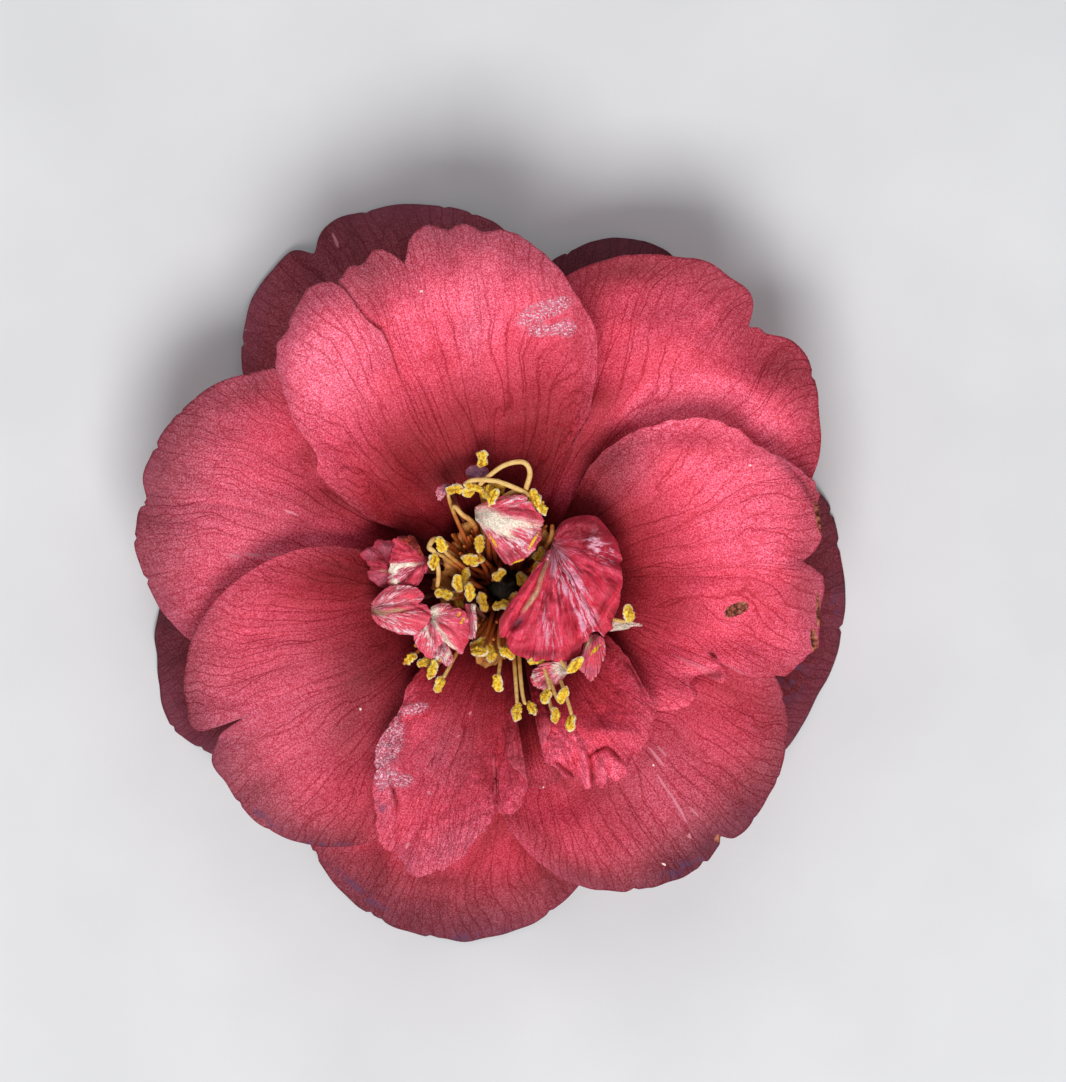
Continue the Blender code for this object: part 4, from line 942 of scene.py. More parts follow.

# Petaloids, the small petals that stamens have turned into. Each has the foot its stalk stands
# on, the claw where the blade starts, crest, the height its blade climbs to over about the run,
# slope, its tilt along x and y, and dome, how far it falls away to the margin. rows and columns
# count its points; blush is how pink it is; pleats, crumple and tear are heights in mm. Then come
# margin points round the blade, creases, swells and its marks, ellipses as on the petals.
# The deep marks of the petaloids are partly dark streaks and partly painted shade, as on the top of the
# hood, which lies low, and along creases.
PETALOIDS = {
    "petaloid_hood": dict(
        foot=(4.4, 2.9, 17.5), claw=(6.7, 5.9, 29.6), crest=35.4, run=3.4, slope=(0.02, -0.03), dome=3.6,
        rows=60, columns=170, blush=0, pleats=0.26, crumple=0.22, tear=0.14,
        margin=[
            (5.8, 5), (5.5, 4.3), (5.3, 3), (4.9, 1.5), (4.3, 0.9), (3.6, 0.4), (2.1, -0.8), (0.6, -2.4),
            (-0.3, -3.9), (-0.8, -5.2), (-0.6, -6.9), (0.2, -6.6), (0.2, -7.8), (0.7, -8.7), (1.7, -9.4),
            (3.4, -9.6), (4.2, -10.2), (5.3, -9.9), (6.2, -10.2), (7.4, -10.4), (8.7, -10.1),
            (10.3, -8.8), (11.4, -7.2), (12, -6.2), (13.3, -6.4), (14, -6.7), (14.9, -5.4), (15.5, -3.5),
            (16, -1.9), (16.2, -0.4), (16.5, 1.7), (15.9, 3.2), (16.4, 3.9), (15.9, 5.8), (14.8, 7.7),
            (13.7, 9.1), (12.2, 10.1), (9.6, 9.9), (8, 9.2), (7.1, 8)],
        creases=[
            ((6.5, 5.2), (4.6, 0), 0.7, 0.4), ((4.8, 0.4), (2.2, -3.6), 0.7, 0.4),
            ((3, -3.6), (0.8, -6.1), -1.3, 0.4), ((16.5, 1.6), (14, -2.6), -0.9, 0.35),
            ((14.1, -2.2), (11.8, -6.3), -0.9, 0.35), ((15, 4.6), (16.6, 3.4), -0.7, 0.3),
            ((14.2, 3.4), (16.4, 5.2), 0.5, 0.3), ((11.6, -6.4), (8, -10), 0.7, 0.8),
            ((8.1, 3), (7, 0.2), -0.55, 0.3), ((7, 0.4), (7.8, -3.8), -0.5, 0.3),
            ((9, 4.6), (12, -2.2), -0.4, 0.35), ((10.6, 5.8), (13.8, -0.6), -0.4, 0.35),
            ((5.9, -0.8), (4.4, -8), -0.45, 0.35), ((7.4, -3.2), (6.6, -9.6), -0.35, 0.3),
            ((8.8, 0), (9.8, -8.4), -0.3, 0.3), ((10, -3), (10.6, -7.4), 0.3, 0.4)],
        swells=[
            (1.9, -8, 1.7, 1.1, -10, 0.9), (0.1, -5.2, 2, 0.7, 80, 0.9), (15.3, -1.6, 3.6, 0.8, 62, 0.6),
            (13.4, 6.4, 2, 2, 0, 0.5)],
        pale=[
            (9.6, 0.6, 4.4, 1.3, -62), (6.2, -6, 3.6, 0.9, -78), (7, 3.6, 2, 0.9, -70),
            (7.9, 2.8, 3.2, 1.5, -80), (11.6, -5.4, 3, 1.2, -60), (13.4, 5.4, 2.4, 1.2, -50),
            (11.6, -3.4, 2, 0.6, -62)],
        tan=[(5.5, 2.4, 2.6, 0.26, -112), (3.6, -1.8, 2.2, 0.26, -125)],
        deep_and_shade=[
            (10.4, 8.2, 4.4, 2.2, 8), (12.4, 6.4, 2.4, 2, 0), (1.9, -4.8, 1.5, 0.5, -128),
            (13.2, -3.2, 4.6, 0.35, 60), (3, -8.9, 2.2, 0.7, -15), (15.2, 3.8, 1.6, 0.9, -30),
            (6.2, -9.2, 2.2, 0.6, 0)],
        warm=[
            (-0.2, -5.2, 1.8, 0.7, 80), (1.6, -7.8, 1.3, 0.8, 0), (9.6, -7.6, 2.6, 0.8, 45),
            (15.4, -1.6, 3.2, 0.7, 62), (2.6, -1.8, 2.4, 0.8, 55), (12.6, -3.4, 3.4, 1.4, -65)],
        grey=[(1.9, -4.6, 1, 0.24, -128)]),
    "petaloid_cream": dict(
        foot=(-3, 4.2, 17.5), claw=(-4, 10.4, 31), crest=33.8, run=1.5, slope=(0.05, 0.12), dome=1.5,
        rows=46, columns=120, blush=0.55, pleats=0.16, crumple=0.16, tear=0.1,
        margin=[
            (-4.1, 9.6), (-3.4, 9), (-2.6, 8.2), (-1.5, 6.5), (-0.8, 4.9), (-0.1, 3.6), (0.7, 3.3),
            (2.5, 3.8), (4, 5.2), (5.1, 6.9), (5, 8.4), (5.4, 9.5), (4.4, 10.9), (3.6, 11.9), (2.8, 12.8),
            (1.5, 13), (-0.9, 12.7), (-2.4, 12.1), (-3.4, 11.7), (-4.2, 11.2)],
        creases=[
            ((-3.8, 10.2), (5, 9), 0.45, 0.5), ((-3, 9.8), (3, 4.2), -0.35, 0.4),
            ((-2, 11.2), (4, 10.8), -0.4, 0.35), ((-1, 7), (2.4, 5), 0.3, 0.4),
            ((2.6, 11.6), (4.6, 9.8), -0.4, 0.3), ((4.8, 8), (2, 4.4), 0.35, 0.25)],
        swells=[(0.4, 12, 2, 0.8, 0, 0.4)],
        pale=[(-0.6, 8.6, 4.4, 1.5, -14), (1.5, 12.2, 2.6, 0.7, 0), (2, 6, 2.6, 1, -30)],
        cream=[(-2.6, 10, 2.2, 1.3, -20), (1, 9.1, 4.4, 0.8, -6), (-0.4, 8, 2.4, 0.7, -30)],
        deep_and_shade=[
            (1, 4.8, 1.8, 1.2, 20), (4.3, 7.4, 1.1, 1.2, 60), (1.6, 10.9, 1.6, 0.22, -4),
            (0.4, 7, 1.6, 0.4, -20)],
        pollen=[(4, 6.6, 2.2, 0.22, 58), (-1.6, 6.6, 1.6, 0.16, -60), (1.6, 3.7, 1.4, 0.18, 20)]),
    "petaloid_left_outer": dict(
        foot=(-5, 1.6, 17.5), claw=(-15.6, 3, 28.6), crest=30, run=1.6, slope=(0.1, 0), dome=0.9,
        columns=110, blush=0, pleats=0.14, crumple=0.16,
        margin=[
            (-15.5, 0.8), (-16.3, 0.2), (-17.3, 0.1), (-18.2, 0.7), (-19.3, 2), (-18.9, 2.5),
            (-19.1, 3.3), (-20.2, 4.6), (-20, 5.1), (-19.2, 5.6), (-18.5, 5.8), (-18.3, 6.3),
            (-17.7, 6.8), (-16.8, 6.6), (-15.7, 6.5), (-15, 5)],
        creases=[
            ((-15.8, 2.4), (-18.9, 2.4), -0.5, 0.25), ((-16, 3.4), (-18.4, 6), -0.35, 0.35),
            ((-16, 2.9), (-19.6, 4.2), 0.3, 0.35), ((-16.2, 1.6), (-18, 0.8), 0.25, 0.35)],
        tan=[(-16.7, 2.3, 0.9, 0.3, -20)], deep_and_shade=[(-17.2, 4.6, 1.8, 1.8, 0)],
        faded=[(-17.4, 1.3, 1.9, 1.1, -10), (-19, 4.8, 0.8, 1, 0), (-16.6, 5.6, 1, 0.9, 0)]),
    "petaloid_left_inner": dict(
        foot=(-4.2, 3.2, 17.5), claw=(-11.3, 3.9, 30.4), crest=32.2, run=1.4, slope=(-0.03, 0.03),
        dome=1.5, rows=46, columns=120, blush=0.2, pleats=0.16, crumple=0.18, tear=0.1,
        margin=[
            (-11.4, 4.5), (-11.8, 5.4), (-12.4, 6.6), (-13, 7.4), (-13.8, 7.2), (-14.8, 7.2),
            (-15.6, 6.8), (-15.4, 5.9), (-15.9, 5), (-16.1, 3.7), (-16.3, 2), (-16.2, 0.3), (-15.2, 0.5),
            (-14.4, 0.4), (-12.9, 0.3), (-12.1, 0.5), (-11.7, 1.3), (-11.5, 1.9), (-10.9, 2.4),
            (-10.8, 3.3)],
        creases=[
            ((-11.6, 3.8), (-16, 3.3), 0.35, 0.3), ((-12.2, 3.4), (-14.4, 0.8), -0.8, 0.25),
            ((-12.6, 4.4), (-13.6, 6.8), -0.4, 0.35), ((-12.2, 4.8), (-15.2, 5.4), 0.35, 0.35),
            ((-12, 3), (-12.6, 0.8), 0.4, 0.4)],
        pale=[(-15.2, 1.8, 1.6, 1.3, 30), (-13.2, 2.9, 1.6, 0.4, 20)],
        cream=[(-14.2, 3.2, 2.6, 0.3, 3), (-15.6, 2.6, 0.8, 0.8, 0), (-15.4, 0.9, 0.7, 0.4, 0)],
        deep_and_shade=[(-15, 2.2, 1, 0.12, 10), (-14.6, 1.8, 0.8, 0.1, 10), (-13.4, 2.1, 1.6, 0.22, 49)],
        warm=[(-13.8, 4.7, 2, 1, -8)], rust=[(-13, 6.9, 2.3, 0.8, -10), (-12.2, 5.7, 1.6, 0.5, -55)]),
    "petaloid_left_folded": dict(
        foot=(-5.3, 0.1, 17.5), claw=(-18.5, -3, 30.2), crest=32.6, run=1.8, slope=(0, -0.02), dome=0.9,
        rows=52, columns=140, blush=0.62, pleats=0.1, crumple=0.06,
        margin=[
            (-18.5, -3.8), (-18.1, -4.6), (-17.3, -5.3), (-16, -5.9), (-14.6, -6.4), (-12.9, -6.5),
            (-12, -6), (-11.2, -5.4), (-10.6, -4.7), (-10.3, -3.9), (-10.5, -3.2), (-10.9, -2.6),
            (-11.5, -2.2), (-12, -2.2), (-11.5, -1.6), (-11.3, -1.1), (-12, -0.2), (-12.8, 0.2),
            (-13.9, 0.4), (-15.1, 0.4), (-16.3, 0.1), (-17.3, -0.6), (-18.2, -1.6), (-18.6, -2.3)],
        creases=[
            ((-18.4, -3.2), (-15, -3), 0.5, 0.35), ((-15.4, -3.1), (-12.6, -2.5), 0.5, 0.3),
            ((-15, -3.6), (-12.2, -2.9), -0.6, 0.25), ((-12.8, -2.5), (-10.4, -3.8), -0.7, 0.22),
            ((-17.8, -2), (-14, -0.4), 0.2, 0.25), ((-17.4, -1.6), (-13, -1.6), -0.2, 0.25),
            ((-17.6, -4.2), (-13, -5.4), -0.2, 0.25)],
        swells=[(-14.4, -1.3, 3, 1.3, 12, 0.7), (-13.6, -4.4, 3.4, 1.5, -10, 0.8)],
        pale=[
            (-16.4, -1.4, 2.6, 0.55, 32), (-14.6, -2.1, 3, 0.35, 14), (-15.8, -4.3, 2.6, 0.6, -22),
            (-13, -3.6, 2, 0.3, 10), (-14.6, -5.8, 2.6, 0.45, -14), (-13.8, 0.1, 2.4, 0.25, 0)],
        tan=[(-17.6, -3.4, 1.3, 0.55, -10), (-15.4, -3.1, 2, 0.24, 10)],
        deep_and_shade=[(-16.8, -2.5, 2.2, 0.28, 12), (-13.6, -3.1, 2.2, 0.3, 12), (-11.3, -3.2, 1.2, 0.3, -28)],
        warm=[(-13.4, -1.2, 2.4, 1, 10), (-13, -4.6, 3, 1.3, -10)]),
    "petaloid_streaked": dict(
        foot=(-5, -1.8, 17.5), claw=(-10.2, -4.2, 30.8), crest=32.9, run=1.5, slope=(0.02, 0.02),
        dome=1.2, rows=50, columns=140, blush=0.72, pleats=0.14, crumple=0.1,
        margin=[
            (-10.6, -4.8), (-11.2, -5.4), (-12, -6), (-12.7, -6.5), (-12.7, -7.3), (-12.2, -8.3),
            (-11.2, -9.4), (-10.3, -9.9), (-9.7, -8.9), (-9, -7.8), (-8.4, -7.6), (-7.6, -8.2),
            (-6.9, -8.6), (-6.1, -9.1), (-5.4, -8), (-5.1, -6.6), (-5.1, -5.4), (-5.2, -4.3),
            (-5.6, -3.4), (-6.4, -2.8), (-7.4, -2.7), (-7.9, -2.2), (-8.7, -2.1), (-9.5, -2.3),
            (-10.3, -2.7), (-10.4, -3.5)],
        creases=[
            ((-10, -4.6), (-8.2, -7.6), -0.5, 0.4), ((-9.8, -4.2), (-5.4, -5), 0.3, 0.35),
            ((-10.2, -5), (-11, -9.2), 0.3, 0.3), ((-9.4, -4.8), (-6.2, -8.4), 0.35, 0.35),
            ((-9.8, -3.6), (-7.2, -3), -0.25, 0.3)],
        swells=[(-7, -5.4, 1.8, 1.8, 0, 0.5)],
        pale=[
            (-9.2, -2.7, 1.6, 0.5, 12), (-8.9, -3.7, 1.1, 0.28, 14), (-8.7, -4.6, 1.4, 0.28, -14),
            (-8.6, -6.6, 2.6, 0.6, -48), (-10.9, -7.2, 2.4, 0.5, -72), (-10.2, -7.8, 2, 0.3, -66),
            (-12.2, -7, 1.4, 0.3, 70)],
        cream=[
            (-9.3, -5.6, 2.4, 0.42, -50), (-10.9, -6, 1.4, 0.28, -68), (-7.6, -7.9, 1.2, 0.28, -38),
            (-9.8, -3.4, 1, 0.9, 0)],
        deep_and_shade=[(-8, -5.6, 2.4, 0.2, -36), (-10.3, -6.6, 1.4, 0.22, -60)],
        warm=[(-7.2, -6.4, 2.6, 0.9, -40), (-11.4, -7.6, 1.6, 0.4, -65)],
        pollen=[
            (-6.6, -3.9, 0.3, 0.3, 0), (-5.8, -4.3, 0.3, 0.25, 0), (-6.1, -4.8, 0.25, 0.3, 0),
            (-6.3, -3.5, 0.2, 0.2, 0)]),
    "petaloid_sliver": dict(
        foot=(-2, -4.9, 17.5), claw=(-4.8, -2.4, 29.6), crest=31.2, run=1.2, slope=(0, 0), dome=0.5,
        pleats=0.1, crumple=0.1,
        margin=[
            (-5.3, -2.2), (-5.5, -3), (-5.1, -4), (-5.2, -5.4), (-5.1, -7), (-4.5, -7.1), (-4.1, -6.6),
            (-3.9, -5.4), (-4, -4.5), (-4.4, -3.8), (-4.3, -3), (-4.4, -2.2)],
        creases=[((-4.8, -2.4), (-4.7, -6.8), -0.4, 0.25)],
        pale=[(-4.2, -5.2, 0.3, 2.2, 4), (-4.5, -3, 0.4, 0.9, 0), (-4.7, -6.9, 0.6, 0.3, 0)],
        cream=[(-4.4, -2.7, 0.4, 0.6, 0), (-4, -5.6, 0.16, 1.4, 4)], deep_and_shade=[(-5, -3.2, 0.3, 0.8, 0)],
        faded=[(-4.8, -5.4, 0.5, 1.2, 0)]),
    "petaloid_pale": dict(
        foot=(2.6, -4.6, 17.5), claw=(8.5, -10.8, 31), crest=32.2, run=1, slope=(0.1, 0.05), dome=0.8,
        pleats=0.14, crumple=0.12,
        margin=[
            (8.2, -10.1), (6.8, -10.3), (5.2, -10.6), (4, -11.6), (3.7, -13.2), (5.4, -14.3),
            (7.3, -13.5), (8.6, -12)],
        creases=[((8.4, -10.9), (4.4, -12.6), 0.3, 0.4)],
        pale=[
            (4.2, -12, 0.5, 1.8, 20), (7.4, -11.4, 1.2, 1.2, 20), (5.4, -14, 1.8, 0.3, -10),
            (6.4, -12.8, 1.6, 0.3, -25)],
        cream=[(7.7, -11.2, 1, 1.4, 30), (3.9, -12, 0.2, 1.4, 20)],
        warm=[(5.8, -11.6, 1.4, 0.7, 0), (4.3, -12.8, 0.8, 1.2, 0)], faded=[(6, -13.4, 1.4, 0.5, -10)]),
    "petaloid_right": dict(
        foot=(4.8, -2.2, 17.5), claw=(12.4, -6.6, 31), crest=32.4, run=1.2, slope=(0.05, 0.08), dome=1,
        pleats=0.12, crumple=0.12,
        margin=[
            (11.2, -7.2), (10.8, -9), (10.3, -11.1), (11.2, -12.1), (12.1, -13), (13.3, -11.2), (14, -9),
            (13.9, -7.2)],
        creases=[((12.5, -6.6), (12, -12.4), 0.35, 0.35)],
        pale=[(13.9, -9.2, 0.22, 2.6, -8), (12.9, -12.2, 1.1, 0.22, 48)],
        tan=[(11.7, -7.8, 0.35, 1.4, -18)], warm=[(12.4, -9.8, 1.2, 2, 0)],
        pollen=[(12.6, -8.6, 0.22, 0.7, -30), (12.1, -9.2, 0.18, 0.3, 0), (13.2, -8, 0.2, 0.25, 0)],
        faded=[(10.9, -9.8, 0.5, 1.8, -10), (12, -11.6, 1, 0.6, 0)]),
    "petaloid_white": dict(
        foot=(5.2, -0.2, 17.5), claw=(14.6, -5.3, 31), crest=31.8, run=1, slope=(0.02, 0.05), dome=0.3,
        pleats=0.04, crumple=0.05,
        margin=[
            (14.8, -5.7), (15.8, -5.85), (17.2, -5.65), (18.3, -5.2), (19.3, -5.15), (18.2, -4.85),
            (17, -4.75), (15.8, -4.85), (14.8, -5)],
        creases=[((14.6, -5.3), (18.6, -5.1), -0.25, 0.2)], pale=[(17, -5.2, 4, 1.5, 0)],
        cream=[(16.2, -5.3, 3, 1.2, 0)]),
    "petaloid_chip_top": dict(
        foot=(-1, 5, 20), claw=(-2.6, 15.7, 29.6), crest=30.8, run=0.8, slope=(0, 0.1), dome=0.7,
        pleats=0.05, crumple=0.08,
        margin=[
            (-2.6, 15.3), (-3.6, 15.3), (-5, 15.5), (-5.5, 16.2), (-4.9, 17), (-3.6, 17.2), (-2.7, 16.9),
            (-2.4, 16.3)],
        creases=[((-2.8, 16), (-5.2, 16.2), 0.15, 0.4)], grey=[(-4, 16.2, 3, 2, 0)]),
    "petaloid_chip_left": dict(
        foot=(-3, 4, 20), claw=(-8, 13.9, 29.6), crest=30.6, run=0.8, slope=(0, 0.1), dome=0.4,
        pleats=0.05, crumple=0.1,
        margin=[
            (-8.2, 13.4), (-8.9, 12.8), (-9.2, 12.2), (-9.6, 13), (-9.5, 13.9), (-8.7, 14.4), (-8, 14.2)],
        creases=[((-8, 13.9), (-9.4, 13), 0.2, 0.25)], pale=[(-9.2, 12.9, 1.2, 0.9, 0)],
        grey=[(-8.2, 14, 0.9, 0.9, 0)]),
    "petaloid_chip_low": dict(
        foot=(-4.5, -3, 20), claw=(-8.9, -7.7, 29.6), crest=31.2, run=0.8, slope=(0, -0.05), dome=0.5,
        pleats=0.1, crumple=0.16,
        margin=[
            (-9.3, -8.2), (-9.8, -9.3), (-10.1, -10.2), (-9.3, -10.3), (-8.7, -10.4), (-8, -10.9),
            (-7.4, -10.3), (-7.3, -9.6), (-7.7, -8.7), (-8, -8), (-8.5, -7.6)],
        creases=[((-8.8, -7.8), (-8.4, -10.2), -0.35, 0.25)], pale=[(-8.6, -9, 2, 2, 0)],
        cream=[(-9.4, -9.9, 0.7, 0.4, 0), (-8, -9.4, 0.3, 0.9, -20)], pollen=[(-9.3, -10.1, 0.5, 0.2, 10)]),
}


def petaloid_grid(frond, u, v, seed):
    """Middle points of a petaloid: a narrow stalk that bends up from the foot to the claw, then
    a blade whose plan lines fan from the claw to the margin.

    The blade climbs from the claw towards its crest as one minus an exponential of the distance
    gone, tilts with the slope and falls away by the dome times the share squared. Pleats that
    fan with the plan lines, sharp crumples and single creases are laid over it.
    """
    rim = through(frond["margin"], v)
    worn_glare_spread = frond["tear"] * np.sin(np.pi * v)
    ragged = [wander(v * 90, 0, 3.0, seed + 3), wander(v * 90, 0, 3.0, seed + 4)]
    rim = rim + worn_glare_spread[:, None] * np.stack(ragged, axis=-1)
    claw = np.array(frond["claw"], float)
    side = unit(rim[-1] - rim[0])
    start = claw[:2] + STALK_HALF_WIDTH * (2 * v[:, None] - 1) * side
    plan = start[None] + u[:, None, None] * (rim - start)[None]
    x, y = plan[..., 0], plan[..., 1]
    gone = np.hypot(x - claw[0], y - claw[1])
    middle = rim.mean(axis=0)
    z = claw[2] + (frond["crest"] - claw[2]) * (1 - np.exp(-gone / frond["run"]))
    tilt = frond["slope"][0] * (x - middle[0]) + frond["slope"][1] * (y - middle[1])
    share = np.broadcast_to(u[:, None], x.shape)
    z = z + (tilt - frond["dome"] * (share ** 2 - 0.35)) * smooth(share, 0, 0.3)
    z = z + frond["pleats"] * wander(v[None] * 30, share * 5, 3.2, seed) * share
    creased = crumpled(x, y, 4.2, seed + 1) + 0.35 * crumpled(x, y, 1.7, seed + 2)
    z = z + frond["crumple"] * creased * smooth(share, 0.1, 0.5)
    pressed = sum((groove(x, y, crease) for crease in frond["creases"]), weighed(x, y, frond["swells"]))
    z = z + pressed * smooth(share, 0.0, 0.25)
    blade = np.stack([x, y, z], axis=-1)
    foot = np.array(frond["foot"], float)
    rise = np.array([0, 0, 0.4 * (claw[2] - foot[2])])
    gone = np.linspace(0, 1, STALK_ROWS, endpoint=False)
    stalk = bezier([foot, foot + rise, claw - rise, claw], gone)
    neck = STALK_NECK + (1 - STALK_NECK) * gone ** 3
    strip = neck[:, None, None] * STALK_HALF_WIDTH * (2 * v[None, :, None] - 1) * np.append(side, 0)
    return np.concatenate([stalk[:, None] + strip, blade])


def make_petaloid(number, name, frond, finish):
    """One petaloid as a closed sheet with its streaks and marks."""
    seed = PETALOID_SEED + SEED_STEP * number
    columns = frond["columns"]
    u = np.linspace(0, 1, frond["rows"])
    v = np.linspace(0, 1, columns)
    rng = np.random.default_rng(seed)
    grid = petaloid_grid(frond, u, v, seed)
    share = np.repeat(np.append(np.zeros(STALK_ROWS), u)[:, None], columns, axis=1)
    stalk = np.repeat(np.append(np.ones(STALK_ROWS), 0 * u)[:, None], columns, axis=1)
    x, y = grid[..., 0], grid[..., 1]
    taper = PETALOID_RIM + (PETALOID_THICK - PETALOID_RIM) * (1 - share ** 3)
    across = np.broadcast_to(v[None], share.shape)
    fan = np.stack([across + rng.uniform(0, 9), share + rng.uniform(0, 9)], axis=-1)
    marks = {mark: spots(x, y, frond.get(mark, [])) * (1 - stalk) for mark in PETALOID_MARKS}
    shape = sheet(grid, taper, fan, share=share, stalk=stalk, blush=frond["blush"], **marks)
    nodes = [name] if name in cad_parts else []
    make_piece(name + "_form", shape, finish, nodes)


# ------------------------------------------------------------ stamens and pistil

# Sizes in mm, and how many rings and sides the rods have. The waist is half the width of the slit
# between the lobes of an anther, as a share of its half width.
ANTHER_LENGTH = 2.3
ANTHER_HALF_WIDTH = 0.70
ANTHER_HALF_HEIGHT = 0.48
ANTHER_WAIST = 0.26
ANTHER_RINGS = 22
ANTHER_SIDES = 20
STAMEN_FOOT = 17.3
FILAMENT_RADIUS = 0.30
FILAMENT_STEPS = 20
BARE_RADIUS = 0.36
BARE_STEPS = 40
BARE_SIDES = 10

# The heights between which the painted shade of the heart, a deeper colour on its filaments and
# anthers, fades out.
HEART_SHADE_HEIGHTS = (21.0, 33.0)

# The strands that crowd in the heart: how many, then the least and most of the radius they leave
# the ring at, of the height they end at, of how far they spread and of their own radius, and the
# dark mouth in the middle, which they lean away from.
STRANDS = 104
STRAND_RING = (3.3, 5.0)
STRAND_TOP = (22.5, 28.0)
STRAND_SPREAD = (4.2, 6.8)
STRAND_RADIUS = (0.28, 0.46)
HEART_MOUTH = (1.1, 2.9)

# The ring that joins the filaments: how many ribs its wall has and points round each, its outline
# as radius and height up the outside and down the inside, the heights between which it becomes
# uneven, and how far the painted shade of the heart deepens its colour.
TUBE_RIBS = 52
RIB_STEPS = 8
TUBE_OUTSIDE = [(4.4, 14.0), (4.5, 16.0), (4.9, 18.0), (5.7, 20.0), (7.0, 22.0), (8.5, 23.8), (9.8, 25.2)]
TUBE_INSIDE = [(9.6, 25.5), (8.1, 24.1), (6.5, 22.3), (5.2, 20.3), (4.4, 18.2), (3.4, 16.0), (2.5, 14.0)]
TUBE_FLARE = (17, 25)
WALL_SHADE = 0.34

# Stamens as in the solids, the nineteenth about a millimetre aside: place and height of the
# anther, the way it points in the plan, and the angle and radius where its filament leaves the
# ring.
STAMENS = [
    (-8.7, -0.8, 30, 150, -172, 3.9), (-4.9, -0.7, 30, 280, -174, 2.9),
    (-11.5, -10.4, 28.8, 195, -157, 3.6), (-9.2, -13.6, 31.8, 240, -146, 3.9),
    (-3.9, -7.8, 27.6, 220, -122, 2.9), (-0.7, -2.4, 25.5, 200, -80, 2.9),
    (-2, -9.2, 28.2, 275, -105, 3.9), (-1, -13.4, 31.4, 265, -87, 3.9), (1.7, -17.4, 34, 270, -78, 3.9),
    (3.9, -16.8, 34.2, 330, -64, 3.9), (5.6, -15.2, 35, 240, -55, 3.9), (9.2, -18.9, 35.6, 265, -24, 3.9),
    (17.2, -3.4, 34, 80, -6, 3.9), (4.8, 4.8, 27.5, 70, 30, 2.9), (4.3, 12, 32, 300, 58, 3.9),
    (-1, 13.8, 29.6, 60, 78, 3.9), (-3.2, 18.2, 31, 80, 97, 3.9), (-0.7, 2, 26, 40, 90, 2.9),
    (-6.9, 14, 31.4, 35, 146, 4), (-3.5, 6.4, 28.5, 80, 118, 2.9), (-5, 4.1, 28, 170, 146, 2.9),
    (-9, 6.2, 31.5, 120, 159, 3.9), (-5.6, 1.6, 26.5, 60, 166, 2.9), (-10.1, 3.6, 32, 250, 174, 3.9)]

# More stamens that crowd between those, given the same way.
MORE_STAMENS = [
    (-4.5, 14.1, 32.2, 170, 128, 3.7), (-2.2, 13.4, 32, 250, 112, 3.5), (-1.2, 14.4, 31, 20, 95, 3.3),
    (4.3, 12.6, 33, 290, 60, 3.5), (5, 11.2, 32.4, 280, 52, 3.4), (-4.9, 13.6, 31.6, 200, 125, 3.6),
    (-2.4, 13, 31.2, 300, 110, 3.4), (-3.8, 3.9, 27.2, 20, 140, 3), (-6.7, 0.8, 28.6, 95, 176, 3.4),
    (-6.6, -1.6, 26, 110, -165, 3.2), (-3.1, -1.8, 24.4, 90, -120, 2.6), (4.5, 2.4, 29, 80, 25, 3.6),
    (-3.4, -9, 29.6, -15, -112, 3.6), (0.4, -9.1, 30.6, -32, -95, 3.4), (4.6, -9.9, 31, 5, -62, 3.6),
    (9.8, -10.6, 35.6, 52, -30, 3.8), (8.2, -14.8, 35.2, 62, -38, 3.6), (7, -17.6, 34.8, 95, -46, 3.8),
    (-13.2, -9.8, 29.6, 40, -160, 3.8), (-10.1, -11.3, 31.2, 62, -150, 3.8),
    (1.9, -1.2, 24, 10, -30, 2.6), (2.4, 1.2, 24.6, 130, 20, 2.6), (-1.5, 12.9, 34.4, 60, 95, 3.6)]

# Filaments that have lost their anthers, most of them curled, as points from the tip of each
# down to its foot.
BARE_FILAMENTS = [
    [
        (-3.8, 14.2, 31.6), (-2.3, 15.6, 32.8), (-0.4, 17, 34), (1.5, 17.6, 34.4), (2.9, 17.4, 34.2),
        (3.5, 16, 33.4), (2.9, 13.7, 31.4), (2.4, 11, 27.6), (1.6, 6, 22), (1, 3.6, 17.3)],
    [
        (-5.8, 14.4, 32), (-4.7, 15, 32.6), (-2.9, 15.1, 33.2), (-0.4, 14.7, 33.4), (2.9, 13.2, 32.2),
        (3.8, 11.6, 29.6), (3.2, 7, 23), (2.2, 3.2, 17.3)],
    [(-0.3, 12.8, 31.2), (1.5, 13.5, 32), (2.9, 13, 31.2), (3.2, 10, 27), (2.6, 4, 18)],
    [
        (-7.4, 11.2, 30.2), (-6.9, 11.3, 30.8), (-6, 10.3, 30.4), (-4.4, 9, 28.6), (-3.4, 6, 23),
        (-2.6, 3.2, 17.3)],
    [
        (-9.5, 0.1, 29.6), (-9.3, 1.6, 30.4), (-9.4, 3, 31), (-9.9, 5, 31.6), (-10.6, 5.7, 31.4),
        (-9.6, 6.8, 30), (-6.5, 5, 24), (-3.4, 2.4, 17.3)],
    [(-12.6, -8.2, 28.6), (-11.6, -7, 27.4), (-8, -4.6, 23.5), (-3.6, -1.8, 17.3)],
    [(6.6, 8.9, 28.2), (6.5, 7.2, 28.6), (5.6, 5.4, 26.6), (3.6, 2, 17.3)]]


def stamen_path(x, y, height, way, foot_way, ring):
    """Centre line of a filament up to its anther, and the direction the anther points."""
    foot_way, way = np.radians(foot_way), np.radians(way)
    foot = np.array([ring * np.cos(foot_way), ring * np.sin(foot_way), STAMEN_FOOT])
    point = np.array([np.cos(way), np.sin(way), 0.25])
    start = np.array([x, y, height]) - point * ANTHER_LENGTH * 0.5
    rise = foot + np.array([0, 0, 0.55 * (height - STAMEN_FOOT)])
    bend = start - point - np.array([0, 0, 1.5])
    return bezier([foot, rise, bend, start], np.linspace(0, 1, FILAMENT_STEPS)), point


def heart_shade(z):
    """How much painted shade of the heart a point gets: 1 deep in the flower's heart, 0 near its top."""
    return 1 - smooth(z, *HEART_SHADE_HEIGHTS)


